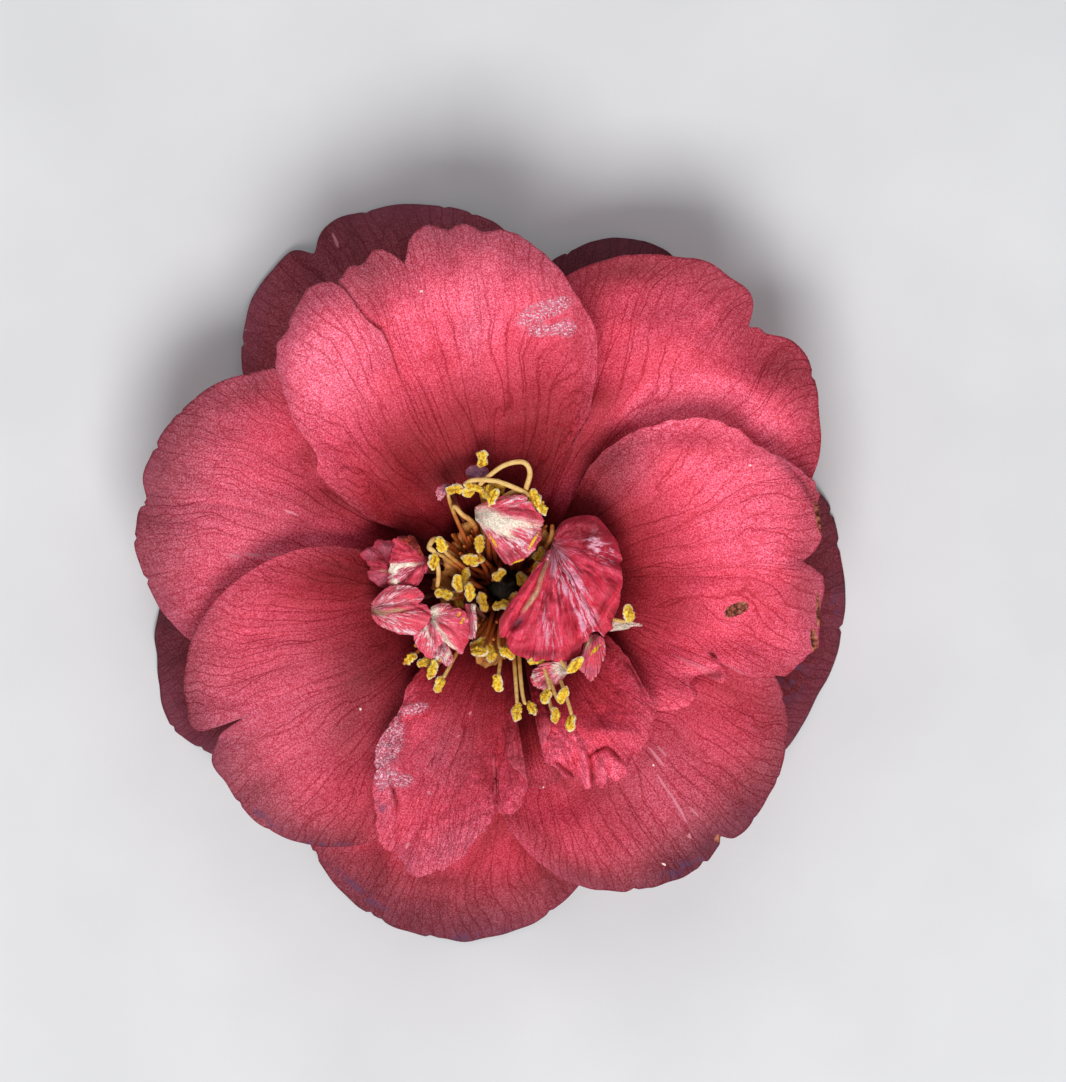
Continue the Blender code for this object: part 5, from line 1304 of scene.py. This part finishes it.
def filament(path, radius=FILAMENT_RADIUS, sides=8):
    """A filament: a round rod, a little stouter at its foot and rounded off at its end."""
    t = np.linspace(0, 1, len(path))
    radii = radius * (1.2 - 0.35 * t) * np.sqrt(np.clip((1 - t) / 0.02 + 0.2, 0, 1))
    return rod(path, radii, sides, gold=0.0, cream=0.0, aged=0.0, slit=0.0, low=heart_shade(path[:, 2]))


def anther(middle, point, rng, size):
    """A burst anther: two lobes side by side with a slit between. Across, the section is a
    flat ellipse nipped in at its waist; along, it swells as a rounded box; two waves, a slow and
    a quick one, make it ragged, and its ends curl. point is the way it points."""
    t = np.linspace(-0.985, 0.985, ANTHER_RINGS)[:, None]
    turn = (np.arange(ANTHER_SIDES) * 2 * np.pi / ANTHER_SIDES)[None]
    cos, sin = np.cos(turn), np.sin(turn)
    swell = (1 - np.abs(t) ** rng.uniform(1.9, 3.0)) ** (1 / 2.2)
    nip = np.exp(-(cos / ANTHER_WAIST) ** 2)
    seed = int(rng.integers(1 << 30))
    slow = wander(t * 2.2, cos * 1.6, 2.4, seed, 8)
    quick = wander(t * 2.2, cos * 1.6 + sin, 0.8, seed + 1, 8)
    uneven = 1 + 0.15 * slow + 0.08 * quick
    across = ANTHER_HALF_WIDTH * size * cos * swell * (0.95 + 0.1 * t ** 2) * uneven
    up = ANTHER_HALF_HEIGHT * size * sin * swell * (1 - 0.5 * nip) * uneven
    long, skew = rng.uniform(0.9, 1.15), rng.normal(0, 1)
    curl, fold = rng.uniform(-1, 1.6), rng.uniform(-1, 1.5)
    along = 0.5 * ANTHER_LENGTH * size * t * long + 0.10 * size * cos * skew
    up = up - 0.22 * size * t ** 2 * curl + 0.10 * size * np.abs(cos) ** 3 * fold
    axis = unit(point + rng.normal(0, 0.16, 3))
    side = unit(np.cross([0, 0, 1.0], axis))
    lift = np.cross(axis, side)
    roll = rng.uniform(-0.6, 0.6)
    side, lift = (side * np.cos(roll) + lift * np.sin(roll),
                  lift * np.cos(roll) - side * np.sin(roll))
    rings = middle + along[..., None] * axis + across[..., None] * side + up[..., None] * lift
    cream = 0.9 * smooth(np.abs(cos), 0.80, 0.96) + 0.8 * smooth(np.abs(t), 0.82, 0.97)
    return tube(rings, rings[0].mean(axis=0), rings[-1].mean(axis=0), gold=1.0,
                cream=np.clip(cream, 0, 1), aged=rng.uniform(0, 0.6) ** 1.5, slit=nip,
                low=0.55 * heart_shade(middle[2]))


def stamen(spec, rng):
    """A filament with its anther as one shape."""
    path, point = stamen_path(*spec)
    size = rng.uniform(0.98, 1.18)
    return joined([filament(path), anther(path[-1] + point * ANTHER_LENGTH * 0.45, point, rng, size)])


def make_stamens(finish):
    """Each stamen of the solids as its own piece, then those that crowd between them and the
    curled bare filaments."""
    rng = np.random.default_rng(STAMEN_SEED)
    for number, spec in enumerate(STAMENS):
        name = f"stamen_{number + 1:02d}"
        make_piece(name + "_form", stamen(spec, rng), finish, [name])
    make_piece("stamens_between", joined([stamen(spec, rng) for spec in MORE_STAMENS]), finish)
    bare = [filament(through(points, np.linspace(1, 0, BARE_STEPS)), BARE_RADIUS, BARE_SIDES)
            for points in BARE_FILAMENTS]
    make_piece("bare_filaments", joined(bare), finish)


def strand(rng):
    """One of the many filaments that crowd in the heart: it climbs from the ring and leans away
    from the heart's dark mouth, further the higher it ends and further still on the left."""
    way = rng.uniform(0, 2 * np.pi)
    out = np.array([np.cos(way), np.sin(way), 0])
    ring = rng.uniform(*STRAND_RING)
    top = rng.uniform(*STRAND_TOP)
    spread = rng.uniform(*STRAND_SPREAD) + 0.5 * (top - STRAND_TOP[0]) + 1.4 * max(0.0, -out[0])
    twist = way + rng.normal(0, 0.25)
    end = np.array([HEART_MOUTH[0] * 0.5 + spread * np.cos(twist),
                    HEART_MOUTH[1] * 0.5 + spread * np.sin(twist), top])
    guides = [out * (ring - 0.9) + [0, 0, 16.5], out * ring + [0, 0, 20.0],
              end - [0, 0, 3] + 0.2 * out, end]
    return filament(bezier(guides, np.linspace(0, 1, 9)), rng.uniform(*STRAND_RADIUS), 6)


def make_tube(finish):
    """The ring where the filaments are joined: a ribbed wall that flares upwards, ribs given by
    the cosine of the turn, and the short free filaments that stand round inside its mouth."""
    rng = np.random.default_rng(STRAND_SEED)
    turn = np.linspace(0, 2 * np.pi, RIB_STEPS * TUBE_RIBS, endpoint=False)
    outline = np.array(TUBE_OUTSIDE + TUBE_INSIDE)
    climb = smooth(outline[:, 1:], *TUBE_FLARE)
    facing = np.repeat([1, -1], [len(TUBE_OUTSIDE), len(TUBE_INSIDE)])[:, None]
    rib = (0.08 + 0.14 * climb) * np.cos(TUBE_RIBS * turn) * facing
    radius = outline[:, :1] + rib + climb * 0.7 * wander(8 * np.cos(turn), 8 * np.sin(turn), 5.0, 18)
    height = outline[:, 1:] + climb * 0.8 * wander(turn * 9, 0, 5.0, 17)[None]
    rings = np.stack([radius * np.cos(turn), radius * np.sin(turn), height + 0 * turn], axis=-1)
    rows, sides = rings.shape[:2]
    index = np.arange(rows * sides).reshape(rows, sides)
    across, down = np.roll(index, -1, axis=1), np.roll(index, -1, axis=0)
    quads = np.stack([index, across, np.roll(down, -1, axis=1), down], axis=-1).reshape(-1, 4)
    points = rings.reshape(-1, 3)
    # Painted shade of the heart, deeper down the wall.
    low = WALL_SHADE * heart_shade(points[:, 2] - 2)
    wall = body(points, quads, gold=0.0, cream=0.0, aged=0.0, slit=0.0, low=low)
    strands = [strand(rng) for _ in range(STRANDS)]
    make_piece("filament_tube", joined([wall] + strands), finish, ["staminal_column"])


TURNED_WAVER = 0.02


def turned(outline, steps, seed, **marks):
    """A closed solid turned round the axis from (radius, height) points, smoothed between them,
    with a waver of the radius as it turns."""
    profile = through(outline, np.linspace(0, 1, 8 * (len(outline) - 1) + 1))
    turn = np.arange(steps) * 2 * np.pi / steps
    place = 20 * np.cos(turn)[None], 20 * np.sin(turn)[None] + profile[:, 1:]
    radius = profile[:, :1] * (1 + TURNED_WAVER * wander(*place, 9.0, seed))
    rings = np.stack([radius * np.cos(turn), radius * np.sin(turn), profile[:, 1:] + 0 * turn], axis=-1)
    return tube(rings, np.array([0, 0, profile[0, 1]]), np.array([0, 0, profile[-1, 1]]), **marks)


def pistil_finish():
    """Pistil: dark olive brown under a pale down."""
    finish = Finish("pistil_olive_down", Roughness=0.8, Specular_IOR_Level=0.2, Sheen_Weight=0.1)
    where = finish.place()
    down = finish.noise(where, 5200, 3.0, 0.7)
    tone = finish.blend(finish.noise(where, 900, 3.0), [(0.3, srgb(34, 22, 12)), (0.7, srgb(66, 50, 24))])
    tone = finish.mix(finish.step(down, 0.5, 0.75, 0.0, 0.4), tone, srgb(104, 88, 50))
    return finish.use(Base_Color=tone, Normal=finish.bump(down, 0.0003, 0.8))


# The pistil: outline of the ovary as radius and height, guide points of the style, the place
# where it parts, and how far out from there and how high each guide point of an arm is.
OVARY_OUTLINE = [(1.6, 14.0), (2.05, 14.9), (1.75, 16.4), (1.0, 17.6), (0.5, 18.4)]
OVARY_SEED = 31
OVARY_SIDES = 40
STYLE_GUIDES = [(0, 0, 17.8), (0.1, 0, 19.6), (0.1, 0.1, 20.4), (0.2, 0.3, 21.2)]
STYLE_RADIUS = 0.42
STYLE_SIDES = 12
STYLE_PARTS = (0.2, 0.3, 0.0)
ARM_COUNT = 3
ARM_TURN = 0.4
ARM_GUIDES = [(0.0, 20.9), (0.0, 21.6), (0.6, 22.2), (1.2, 22.4)]
ARM_RINGS = 9
ARM_SIDES = 8


def make_pistil():
    """The pistil deep in the heart: a downy egg-shaped ovary, and a slender style that parts in
    three at its tip."""
    ovary = turned(OVARY_OUTLINE, OVARY_SIDES, OVARY_SEED)
    style = rod(bezier(STYLE_GUIDES, np.linspace(0, 1, STYLE_SIDES)), STYLE_RADIUS, STYLE_SIDES)
    arms = []
    for k in range(ARM_COUNT):
        way = 2 * np.pi * k / ARM_COUNT + ARM_TURN
        out = np.array([np.cos(way), np.sin(way), 0])
        guides = [out * reach + STYLE_PARTS + [0, 0, height] for reach, height in ARM_GUIDES]
        path = bezier(guides, np.linspace(0, 1, ARM_RINGS))
        arms.append(rod(path, np.linspace(0.3, 0.2, ARM_RINGS), ARM_SIDES))
    make_piece("pistil_form", joined([ovary, style] + arms), pistil_finish(), ["pistil"])


def calyx_finish():
    """Calyx: leathery yellow green with a silky down, fine stripes along the fan, browner
    towards the margins and with a few corky specks."""
    finish = Finish("calyx_leathery_green", Specular_IOR_Level=0.3, Sheen_Weight=0.12,
                    Sheen_Roughness=0.4)
    where = finish.place()
    stripe = finish.noise(finish.place((60, 3, 1), fan=True), 1.0, 3.0, 0.6)
    cloud = finish.noise(where, 420, 4.0, 0.6)
    grain = finish.noise(where, 4600, 2.0, 0.7)
    tone = finish.blend(finish.plus(finish.times(stripe, 0.5), finish.times(cloud, 0.5)),
                        [(0.32, srgb(92, 104, 44)), (0.5, srgb(134, 146, 72)), (0.68, srgb(176, 180, 112))])
    dry = finish.times(finish.step(finish.mark("share"), 0.55, 1.0), finish.step(cloud, 0.35, 0.6))
    cork = finish.step(finish.noise(where, 1500, 2.0), 0.68, 0.72)
    down = finish.step(grain, 0.45, 0.8, 0.0, 0.35)
    tone = finish.layers(tone, (dry, srgb(122, 88, 48)), (cork, srgb(84, 60, 34)),
                         (down, srgb(214, 212, 170)))
    height = finish.plus(finish.times(stripe, 1.5), grain)
    return finish.use(Base_Color=tone, Roughness=finish.step(cloud, 0.3, 0.7, 0.5, 0.75),
                      Normal=finish.bump(height, 0.0002, 0.7))


# The sepals: how many there are, how far out their middles lie, their half size, how much lower
# every second one starts, their thickness at claw and rim, and their rows and columns.
SEPAL_COUNT = 5
SEPAL_REACH = 9.2
SEPAL_HALF = 5.2
SEPAL_STEP = 1.0
SEPAL_THICK = 0.8
SEPAL_RIM = 0.3
SEPAL_GRID = (30, 64)
SEPAL_FORM = dict(PLAIN_PETAL, row="sepal", size=(SEPAL_HALF, SEPAL_HALF), square=2.0, cup=0.3,
                  ruffle=(0.0, 1.0, 0.0), claw=1.6, frill=0.05, tone=(80, 80, 80, 30, 60))

# Outline of the receptacle and its stub of stalk as radius and height.
RECEPTACLE_OUTLINE = [
    (2.0, 0.72), (2.15, 1.0), (1.95, 1.8), (2.0, 3.0), (2.5, 3.7), (2.45, 3.9), (2.9, 4.4), (3.0, 5.3),
    (4.6, 6.0), (5.8, 6.8), (7.2, 8.0), (6.8, 9.4), (5.6, 11.0), (4.6, 12.4), (4.3, 13.7)]
RECEPTACLE_SEED = 41
RECEPTACLE_SIDES = 72


def make_calyx():
    """The sepals, each as a small thick petal, and the receptacle on its stub of stalk with a
    ring scar at every step of its outline."""
    finish = calyx_finish()
    for k in range(SEPAL_COUNT):
        angle = np.radians(90 + 360 * k / SEPAL_COUNT)
        lift = -SEPAL_STEP * (k % 2) - (SEPAL_STEP * 0.5 if k == SEPAL_COUNT - 1 else 0)
        centre = (SEPAL_REACH * np.cos(angle), SEPAL_REACH * np.sin(angle))
        sepal = dict(SEPAL_FORM, centre=centre, lift=lift, seed=SEPAL_SEED + SEED_STEP * k)
        make_petal(f"sepal_{k + 1}", sepal, finish, SEPAL_THICK, SEPAL_RIM, SEPAL_GRID)
    shape = turned(RECEPTACLE_OUTLINE, RECEPTACLE_SIDES, RECEPTACLE_SEED, share=0.2)
    make_piece("receptacle_form", shape, finish, ["receptacle"])


def stamen_finish():
    """Stamens: golden anthers dusted with pollen and edged in cream, on filaments that go from
    gold at the top to a deep orange brown in the heart of the flower; that deepening, on the
    anthers too, is painted shade of the heart."""
    finish = Finish("stamen_gold", Roughness=0.45, Specular_IOR_Level=0.35, Subsurface_Weight=0.05,
                    Subsurface_Scale=0.0006, Subsurface_Radius=(1.0, 0.7, 0.3))
    where = finish.place()
    grain = finish.noise(where, 2600, 3.0, 0.7)
    patch = finish.noise(where, 1000, 3.0)
    # low carries the painted shade of the heart, which darkens filaments and anthers lower down.
    low = finish.mark("low")
    stalk = finish.blend(finish.plus(low, finish.step(patch, 0.3, 0.7, -0.08, 0.08)),
                         [(0.0, srgb(240, 200, 124)), (0.22, srgb(214, 152, 78)), (0.45, srgb(186, 98, 42)),
                          (0.72, srgb(170, 76, 26)), (1.0, srgb(120, 44, 16))])
    pollen = finish.blend(grain, [(0.33, srgb(150, 84, 2)), (0.41, srgb(232, 162, 6)),
                                  (0.50, srgb(255, 208, 22)), (0.66, srgb(255, 244, 120))])
    slit = finish.times(finish.mark("slit"), finish.step(patch, 0.36, 0.6, 0.9, 0.1))
    edge = finish.times(finish.mark("cream"), finish.step(patch, 0.34, 0.46))
    old = finish.times(finish.mark("aged"), finish.step(patch, 0.4, 0.6))
    head = finish.layers(pollen, (slit, srgb(140, 78, 8)), (edge, srgb(255, 250, 222)),
                         (old, srgb(158, 108, 44)), (low, srgb(168, 104, 14)))
    colour = finish.mix(finish.mark("gold"), stalk, head)
    normal = finish.bump(grain, 0.0003, 0.9)
    return finish.use(Base_Color=colour, Roughness=finish.step(patch, 0.3, 0.7, 0.38, 0.6), Normal=normal)


def petaloid_finish():
    """Petaloids: thin crumpled rose, streaked white along the fan, creamier towards the claw,
    with spots of pollen and of faded grey violet, and deep marks that are partly dark streaks and
    partly painted shade."""
    finish = Finish("petaloid_streaked_rose", Roughness=0.42, Specular_IOR_Level=0.32,
                    Sheen_Weight=0.05, Sheen_Roughness=0.4, Subsurface_Weight=0.06,
                    Subsurface_Scale=0.0008, Subsurface_Radius=(1.0, 0.35, 0.3))
    where = finish.place()
    grain = finish.noise(where, 4200, 3.0, 0.75)
    cloud = finish.noise(where, 500, 3.0, 0.6)
    streak = finish.noise(finish.place((30, 1.8, 1), fan=True), 1.0, 4.0, 0.7)
    fine = finish.noise(finish.place((85, 4.5, 1), fan=True), 1.0, 3.0, 0.65)
    rose = finish.blend(streak, [(0.34, srgb(140, 20, 38)), (0.46, srgb(196, 40, 66)),
                                 (0.58, srgb(226, 62, 92)), (0.74, srgb(240, 104, 130))])
    pink = finish.blend(streak, [(0.34, srgb(214, 52, 80)), (0.48, srgb(248, 94, 120)),
                                 (0.62, srgb(255, 142, 160)), (0.76, srgb(255, 192, 202))])
    colour = finish.mix(finish.mark("blush"), rose, pink)
    white = finish.step(streak, 0.48, 0.64, 0.0, 0.55)
    white = finish.plus(white, finish.step(fine, 0.47, 0.60, 0.0, 0.75))
    white = finish.times(white, finish.plus(finish.mark("pale"), 0.2))
    lilac = finish.mix(finish.mark("blush"), srgb(232, 164, 188), srgb(255, 236, 236))
    cream = finish.times(finish.mark("cream"), finish.step(fine, 0.25, 0.6, 0.45, 1.0))
    tan = finish.step(finish.mark("tan"), 0.2, 0.8, 0.0, 0.85)
    rust = finish.blend(finish.noise(where, 1300, 4.0, 0.7),
                        [(0.36, srgb(70, 14, 12)), (0.52, srgb(140, 34, 26)), (0.68, srgb(214, 96, 50))])
    dust = finish.step(finish.times(finish.mark("pollen"), finish.plus(grain, 0.4)), 0.48, 0.6)
    colour = finish.layers(
        colour, (finish.times(finish.mark("warm"), 0.55), srgb(246, 66, 90)),
        # Deep marks: partly dark streaks, partly painted shade.
        (finish.times(finish.mark("deep_and_shade"), 0.75), srgb(140, 22, 40)),
        (finish.step(white, 0.10, 0.75, 0.0, 0.9), lilac),
        (finish.step(cream, 0.1, 0.8), srgb(255, 236, 216)), (tan, srgb(204, 160, 124)),
        (finish.times(finish.mark("faded"), 0.6), srgb(186, 106, 128)),
        (finish.step(finish.mark("rust"), 0.15, 0.7), rust),
        (finish.times(finish.mark("grey"), 0.9), srgb(132, 96, 122)), (dust, srgb(240, 190, 40)),
        (finish.mark("stalk"), srgb(150, 70, 50)))
    speck = finish.blend(grain, [(0.36, (0.82, 0.60, 0.64)), (0.50, (1.0, 0.98, 0.98)),
                                 (0.64, (1.15, 1.45, 1.38))])
    colour = finish.mix(1.0, colour, speck, "MULTIPLY")
    height = finish.plus(finish.times(streak, 2.5), finish.plus(fine, finish.times(grain, 0.4)))
    normal = finish.bump(height, 0.0003, 0.8)
    return finish.use(Base_Color=colour, Roughness=finish.step(cloud, 0.3, 0.7, 0.32, 0.52), Normal=normal)


# ------------------------------------------------------------ the flower


def make_centre():
    """The petaloids, the stamens, the ring that joins them and the pistil."""
    finish = petaloid_finish()
    for number, (name, frond) in enumerate(PETALOIDS.items()):
        make_petaloid(number, name, dict(PLAIN_PETALOID, **frond), finish)
    gold = stamen_finish()
    make_stamens(gold)
    make_tube(gold)
    make_pistil()


def make_petals():
    """All the petals, each with its own seed for what is uneven in it."""
    finish = petal_finish()
    for number, (name, petal) in enumerate(PETALS.items()):
        petal = dict(PLAIN_PETAL, **petal)
        petal.update(seed=PETAL_SEED + SEED_STEP * number, frill=FRILL)
        count = FOLDED_COUNT if "fold" in petal else PETAL_COUNT
        make_petal(name, petal, finish, PETAL_THICK, PETAL_RIM, count)


# ------------------------------------------------------------ floor, light and camera

FLOOR_SIDE = 3.0

# Each lamp: its place, how wide it is, in metres, and its power.
LAMPS = dict(key=((0.03, -0.62, 1.15), 0.6, 14.5), fill=((-0.2, 0.7, 1.1), 1.2, 3.2))

SKY_COLOUR = (0.93, 0.95, 1.0, 1.0)
SKY_STRENGTH = 0.30

# The camera: how much it takes in from top to bottom, in metres, its lens and sensor in mm, how
# many metres it sees, and the point it looks at in the flower's own millimetres.
FRAME_HEIGHT = 0.1515
LENS = 500.0
SENSOR = 36.0
FURTHEST = 10
AIM = (3.92, 6.58, 28.0)


def make_floor():
    """A plain pale floor under the flower."""
    mesh = bpy.data.meshes.new("floor")
    half = FLOOR_SIDE / 2
    corners = [(-half, -half, 0), (half, -half, 0), (half, half, 0), (-half, half, 0)]
    mesh.from_pydata(corners, [], [(0, 1, 2, 3)])
    finish = Finish("floor_pale", Roughness=0.8)
    cloud = finish.noise(finish.place(), 30, 3.0)
    tone = finish.blend(cloud, [(0.3, (0.66, 0.66, 0.67)), (0.7, (0.72, 0.72, 0.73))])
    mesh.materials.append(finish.use(Base_Color=tone))
    floor = bpy.data.objects.new("floor", mesh)
    bpy.context.scene.collection.objects.link(floor)


def make_light():
    """One large soft light high on the near side, a weaker one behind, and a pale sky."""
    for name, (place, size, power) in LAMPS.items():
        data = bpy.data.lights.new(name, "AREA")
        data.energy, data.size = power, size
        lamp = bpy.data.objects.new(name, data)
        lamp.location = place
        lamp.rotation_euler = (-Vector(place)).to_track_quat("-Z", "Y").to_euler()
        lamp.visible_camera = False
        bpy.context.scene.collection.objects.link(lamp)
    world = bpy.data.worlds.new("pale_sky")
    world.use_nodes = True
    sky = world.node_tree.nodes["Background"].inputs
    sky["Color"].default_value = SKY_COLOUR
    sky["Strength"].default_value = SKY_STRENGTH
    bpy.context.scene.world = world


def make_camera():
    """A long lens looking straight down over the middle of the view."""
    data = bpy.data.cameras.new("camera")
    data.lens, data.sensor_width = LENS, SENSOR
    data.clip_end = FURTHEST
    camera = bpy.data.objects.new("camera", data)
    aim = to_frame(np.array(AIM))
    camera.location = (aim[0], aim[1], aim[2] + FRAME_HEIGHT * LENS / SENSOR)
    bpy.context.scene.collection.objects.link(camera)
    bpy.context.scene.camera = camera


make_petals()
make_centre()
make_calyx()
make_floor()
make_light()
make_camera()
bpy.context.scene.view_settings.view_transform = "Standard"
